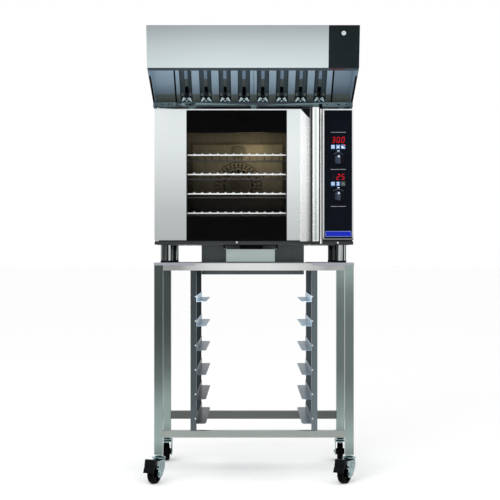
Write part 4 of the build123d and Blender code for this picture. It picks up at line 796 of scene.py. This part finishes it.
def key_symbol(k):
    g = Geo()
    cx = (321.7, 342.5, 363.3)[(k - 1) % 3]
    cz = 1374.3 if k <= 3 else 1223.8
    if k == 1:
        g.box(cx - 6.5, cx + 6.5, -1.16, -1.0, cz + 2.5, cz + 5.5, 0)
        for dz in (-1.0, -4.5):
            g.box(cx - 6.5, cx + 6.5, -1.16, -1.0, cz + dz - 0.9, cz + dz + 0.9, 0)
    elif k == 2:
        bar(g, cx - 6, cz - 5.5, cx + 6, cz + 5.5, 2.4)
        bar(g, cx - 6, cz + 5.5, cx - 1, cz + 1, 2.0)
        bar(g, cx + 1.5, cz - 1.5, cx + 6, cz - 5.5, 2.0)
    elif k == 3:
        g.prism_y([(cx - 6.5, cz - 5.5), (cx + 2, cz - 5.5), (cx - 6.5, cz + 5.5)], -1.16, -1.0, 0)
        bar(g, cx - 1, cz - 1, cx + 6, cz - 6, 2.2)
    elif k == 4:
        for dz in (4.2, 0.0, -4.2):
            g.box(cx - 6, cx + 6, -1.16, -1.0, cz + dz - 1.0, cz + dz + 1.0, 0)
        g.box(cx - 1.2, cx + 1.2, -1.16, -1.0, cz - 5.5, cz + 5.5, 0)
    elif k == 5:
        g.prism_y([(cx - 4.5, cz + 5.5), (cx + 4.5, cz + 5.5), (cx, cz + 0.3)], -1.16, -1.0, 0)
        g.prism_y([(cx - 4.5, cz - 5.5), (cx + 4.5, cz - 5.5), (cx, cz - 0.3)], -1.16, -1.0, 0)
    else:
        bar(g, cx - 5.5, cz - 5, cx, cz + 5, 2.0)
        bar(g, cx, cz + 5, cx + 5.5, cz - 5, 2.0)
        bar(g, cx - 5, cz - 1, cx + 5, cz - 1, 2.0)
    g.make("key_symbol_%d" % k, ["icon_dim" if k == 6 else "icon"], ride="button_%d" % k)


for k in range(1, 7):
    key_symbol(k)
g = Geo()
g.disc_y(370.2, 1382.0, 2.3, -1.9, -1.0)
g.make("key_light", ["red_glow"], ride="button_3")

# plain name plate
g = Geo()
g.box(291.0, 396.0, -0.25, 0.75, 1009.0, 1031.0, 0)
g.box(292.2, 394.8, -0.60, -0.25, 1010.2, 1029.8, 1)
g.make("plain_plate", ["plate_edge", "plate_blue"], bevel=0.2)


# knobs: skirt, tapered pointer bar; lighter copies of the black plastic on the bar's left flank and front face as
# painted reflection, and a pale painted highlight at the top of the bar
def knob(name, node, body, cz):
    cx = 344.0

    def outline(hw, hh, tip, y):
        pts = []
        for i in range(11):
            a = math.pi + math.pi * i / 10.0
            pts.append((cx + hw * math.cos(a), y, cz - hh + hw + hw * math.sin(a)))
        pts.append((cx + hw, y, cz + hh - tip))
        pts.append((cx + hw * 0.45, y, cz + hh - tip * 0.25))
        pts.append((cx, y, cz + hh))
        pts.append((cx - hw * 0.45, y, cz + hh - tip * 0.25))
        pts.append((cx - hw, y, cz + hh - tip))
        return pts
    g = Geo()
    g.lathe_y(cx, cz, [(20.5, 0.25), (22.6, -0.3), (22.9, -1.2), (22.4, -3.2), (20.6, -4.2), (16.0, -4.6)], 0)
    b = len(g.f)
    g.loft([outline(13.2, 21.8, 9.0, -4.3), outline(12.2, 21.4, 8.6, -12.0), outline(9.0, 20.4, 7.6, -20.4), outline(7.4, 19.4, 7.0, -21.8)], 0)
    for i in range(b, len(g.f)):
        f = g.f[i]
        if len(f) == 4:
            mx = sum(g.v[j][0] for j in f) / 4.0
            my = sum(g.v[j][1] for j in f) / 4.0
            # left flank: painted reflection
            if mx < cx - 7.5 and my > -21.0:
                g.m[i] = 1
        elif len(f) > 4 and sum(g.v[j][1] for j in f) / len(f) < -21.0:
            g.m[i] = 2
    # painted highlight at the top of the bar's front
    g.prism_y([(cx - 4.0, cz + 6.0), (cx + 4.0, cz + 7.5), (cx + 4.2, cz + 12.5), (cx, cz + 16.6), (cx - 4.2, cz + 12.5)], -22.0, -21.75, 3)
    g.make(name, ["knob", "knob_side", "knob_face_sheen", "knob_glint"], ride=body, replaces=node, bevel=0.3)


knob("temperature_knob_visual", "knob_temperature", "temperature_knob", 1323.0)
knob("timer_knob_visual", "knob_timer", "timer_knob", 1174.0)

# under the hood: second row of baffles behind the slots, with black strips down their sides as painted shade; end caps;
# black strips in the gaps, painted shade; an olive-toned band; lower brackets
g = Geo()
for c in CH:
    g.bank_box([(c - 12, 14), (c + 12, 14), (c + 12, 296), (c - 12, 296)], 46.0, 47.2, 0)
    for s in (-1, 1):
        g.bank_box([(c + s * 12, 14), (c + s * 13.2, 14), (c + s * 13.2, 296), (c + s * 12, 296)], 38.5, 47.2, 0)
for c in CH:
    g.bank_box([(c - 11.9, 52), (c + 11.9, 52), (c + 11.9, 94), (c - 11.9, 94)], 45.5, 46.0, 1)
    s = -1 if c < 0 else 1
    a, b = sorted((c + s * 11.9, c + s * 8.0))
    # black strip down one side of each channel: painted shade
    g.bank_box([(a, 94), (b, 94), (b, 296), (a, 296)], 45.0, 46.0, 2)
g.make("filter_back_baffles", ["row2", "olive", "black"])
g = Geo()
for c in CH:
    for s in (-1, 1):
        g.bank_box([(c + s * 14.0, 27), (c + s * 8.0, 28), (c + s * 14.5, 5), (c + s * 22.5, 4)], 1.6, 3.4, 0)
        g.bank_box([(c + s * 6.5, 22), (c + s * 2.5, 22), (c + s * 8.0, 10), (c + s * 12.0, 10)], 2.4, 3.8, 0)
        g.bank_box([(c + s * 20.0, 56), (c + s * 11.0, 56), (c + s * 12.0, 38), (c + s * 21.0, 38)], 2.0, 3.2, 3)
    # black trapezoid behind each end cap: painted shade in the opening
    g.bank_box([(c - 7, 26), (c + 7, 26), (c + 15, 4), (c - 15, 4)], 6.0, 7.2, 2)
    g.bank_box([(c - 3.5, 9), (c + 3.5, 9), (c + 3.5, 4), (c - 3.5, 4)], 1.0, 4.0, 0)
g.make("filter_end_clips", ["clip", "inner_blue", "black", "olive"], bevel=0.2)
g = Geo()
for s in (-1, 1):
    a, b = sorted((s * 320.5, s * 327.0))
    g.bank_box([(a, 2), (b, 2), (b, 300), (a, 300)], -0.6, 0.0, 0)
g.make("filter_gap_shade", ["black"])
g = Geo()
edges = [-407] + [v for c in CH for v in (c - 25.2, c + 25.2)] + [399]
for i in range(0, len(edges) - 1, 2):
    a, b = edges[i] + 0.3, edges[i + 1] - 0.3
    if b - a < 120:
        g.bank_box([(a, 4), (b, 4), (b, 50), (a, 50)], -0.35, 0.0, 0)
g.make("filter_olive_band", ["olive"])
g = Geo()
for x0, x1 in ((-407, -328), (-301, -244), (287, 399)):
    g.box(x0, x1, 136.0, 137.4, 1556.5, 1569.5, 0)
for x in (-380, -345, -285, -258, 305, 350, 385):
    g.disc_y(x, 1563, 3.0, 134.2, 136.0, 1, 16)
g.box(272, 285.5, 133.5, 136.0, 1548, 1565, 2)
g.make("filter_rail_brackets", ["bracket", "screw_dark", "hood_panel"], bevel=0.3)
# hood front lip: a dark strip as painted shade, and a red strip as painted reflection of the indicator light
g = Geo()
g.box(-405, 398, -312.5, -305.0, 1639.8, 1648.6, 0)
g.box(291, 343, -313.2, -312.5, 1642.2, 1646.4, 1)
g.make("hood_front_lip", ["lip", "red_led_reflection"], bevel=0.5)

# fan guard: painted shadow between its holes, drawn as thin dark relief; a painted-shadow ring on the vent cover
g = Geo()
FX, FZ, GY = -68.0, 1239.0, 404.9
g.arc_y(FX, FZ, 78.0, 82.0, 0, 2 * math.pi, GY - 0.7, GY, 0, 48)
g.arc_y(FX, FZ, 43.5, 47.5, 0, 2 * math.pi, GY - 0.7, GY, 0, 40)
for i in range(16):
    a = 2 * math.pi * (i + 0.5) / 16
    ca, sa = math.cos(a), math.sin(a)
    g.prism_y([(FX + r * ca - q * sa, FZ + r * sa + q * ca) for r, q in ((47.5, -1.6), (78.0, -3.2), (78.0, 3.2), (47.5, 1.6))], GY - 0.6, GY, 0)
for i in range(20):
    a = 2 * math.pi * (i + 0.5) / 20
    ca, sa = math.cos(a), math.sin(a)
    g.prism_y([(FX + r * ca - q * sa, FZ + r * sa + q * ca) for r, q in ((18.0, -0.9), (43.0, -1.8), (43.0, 1.8), (18.0, 0.9))], GY - 0.5, GY, 0)
g.lathe_y(FX, FZ, [(15.0, GY), (15.0, GY - 1.0), (12.5, GY - 1.8), (6.0, GY - 2.2)], 0, 32)
g.arc_y(FX, 1386.0, 22.0, 25.0, 0, 2 * math.pi, 400.6, 401.5, 0, 36)
g.make("fan_guard_painted_shadow", ["guard_dark"], bevel=0.15)

# hood button: dark bezel ring and a small dimple, square to the sloped fascia
g = Geo()
BD, BN = (-0.2484, 0.9687), (-0.9687, -0.2484)


def tilted(r, t, seg=32):
    return [(339.8 + r * math.cos(2 * math.pi * i / seg), -350.2 + r * math.sin(2 * math.pi * i / seg) * BD[0] + t * BN[0], 1775.4 + r * math.sin(2 * math.pi * i / seg) * BD[1] + t * BN[1]) for i in range(seg)]


g.loft([tilted(r, t) for r, t in ((8.5, 0.02), (8.6, 0.4), (10.2, 0.3), (10.4, 0.02), (8.5, 0.02))], 0, cap=False)
g.loft([tilted(2.6, 0.02), tilted(2.4, 0.25), tilted(1.2, 0.3)], 1)
g.make("hood_button_bezel", ["hood_panel", "screw_dark"], ride="hood_switch", smooth=True, weld=True)


# screws that hold the casings: sides, back and duct
def screw(g, p, axis, r=4.2, h=1.6):
    """Domed cross-recess screw head on a face whose outward direction is axis; the recess is drawn as a dark cross,
    painted shade.
    """
    u = (0, 0, 1)
    v = (0, 1, 0) if axis[0] else (1, 0, 0)

    def at(a, b, c):
        return tuple(p[i] + u[i] * a + v[i] * b + axis[i] * c for i in range(3))
    rings = [[at(rr * math.cos(2 * math.pi * i / 20), rr * math.sin(2 * math.pi * i / 20), hh) for i in range(20)] for rr, hh in ((r, 0.02), (r, h * 0.35), (r * 0.8, h * 0.75), (r * 0.4, h * 0.96))]
    g.loft(rings, 0)
    for q in ((r * 0.5, r * 0.11), (r * 0.11, r * 0.5)):
        g.loft([[at(-q[0], -q[1], hh), at(q[0], -q[1], hh), at(q[0], q[1], hh), at(-q[0], q[1], hh)] for hh in (h * 0.8, h * 1.02)], 1)


g = Geo()
for z in (868, 1035, 1205, 1375, 1540):
    for x in (-228, 220):
        screw(g, (x, 688.0, z), (0, 1, 0), h=1.4)
for z in (1002, 1256, 1510):
    for x in (-388, 388):
        screw(g, (x, 612.0, z), (0, 1, 0))
    for y in (82, 585):
        for sx in (-1, 1):
            screw(g, (sx * 405.0, y, z), (sx, 0, 0))
for y in (-170, 60, 290, 520, 665):
    screw(g, (-409.0, y, 1785), (-1, 0, 0))
    screw(g, (401.0, y, 1785), (1, 0, 0))
for y in (300, 520, 665):
    screw(g, (-409.0, y, 1585), (-1, 0, 0))
    screw(g, (401.0, y, 1585), (1, 0, 0))
g.make("casing_screws", ["screw", "screw_dark"])
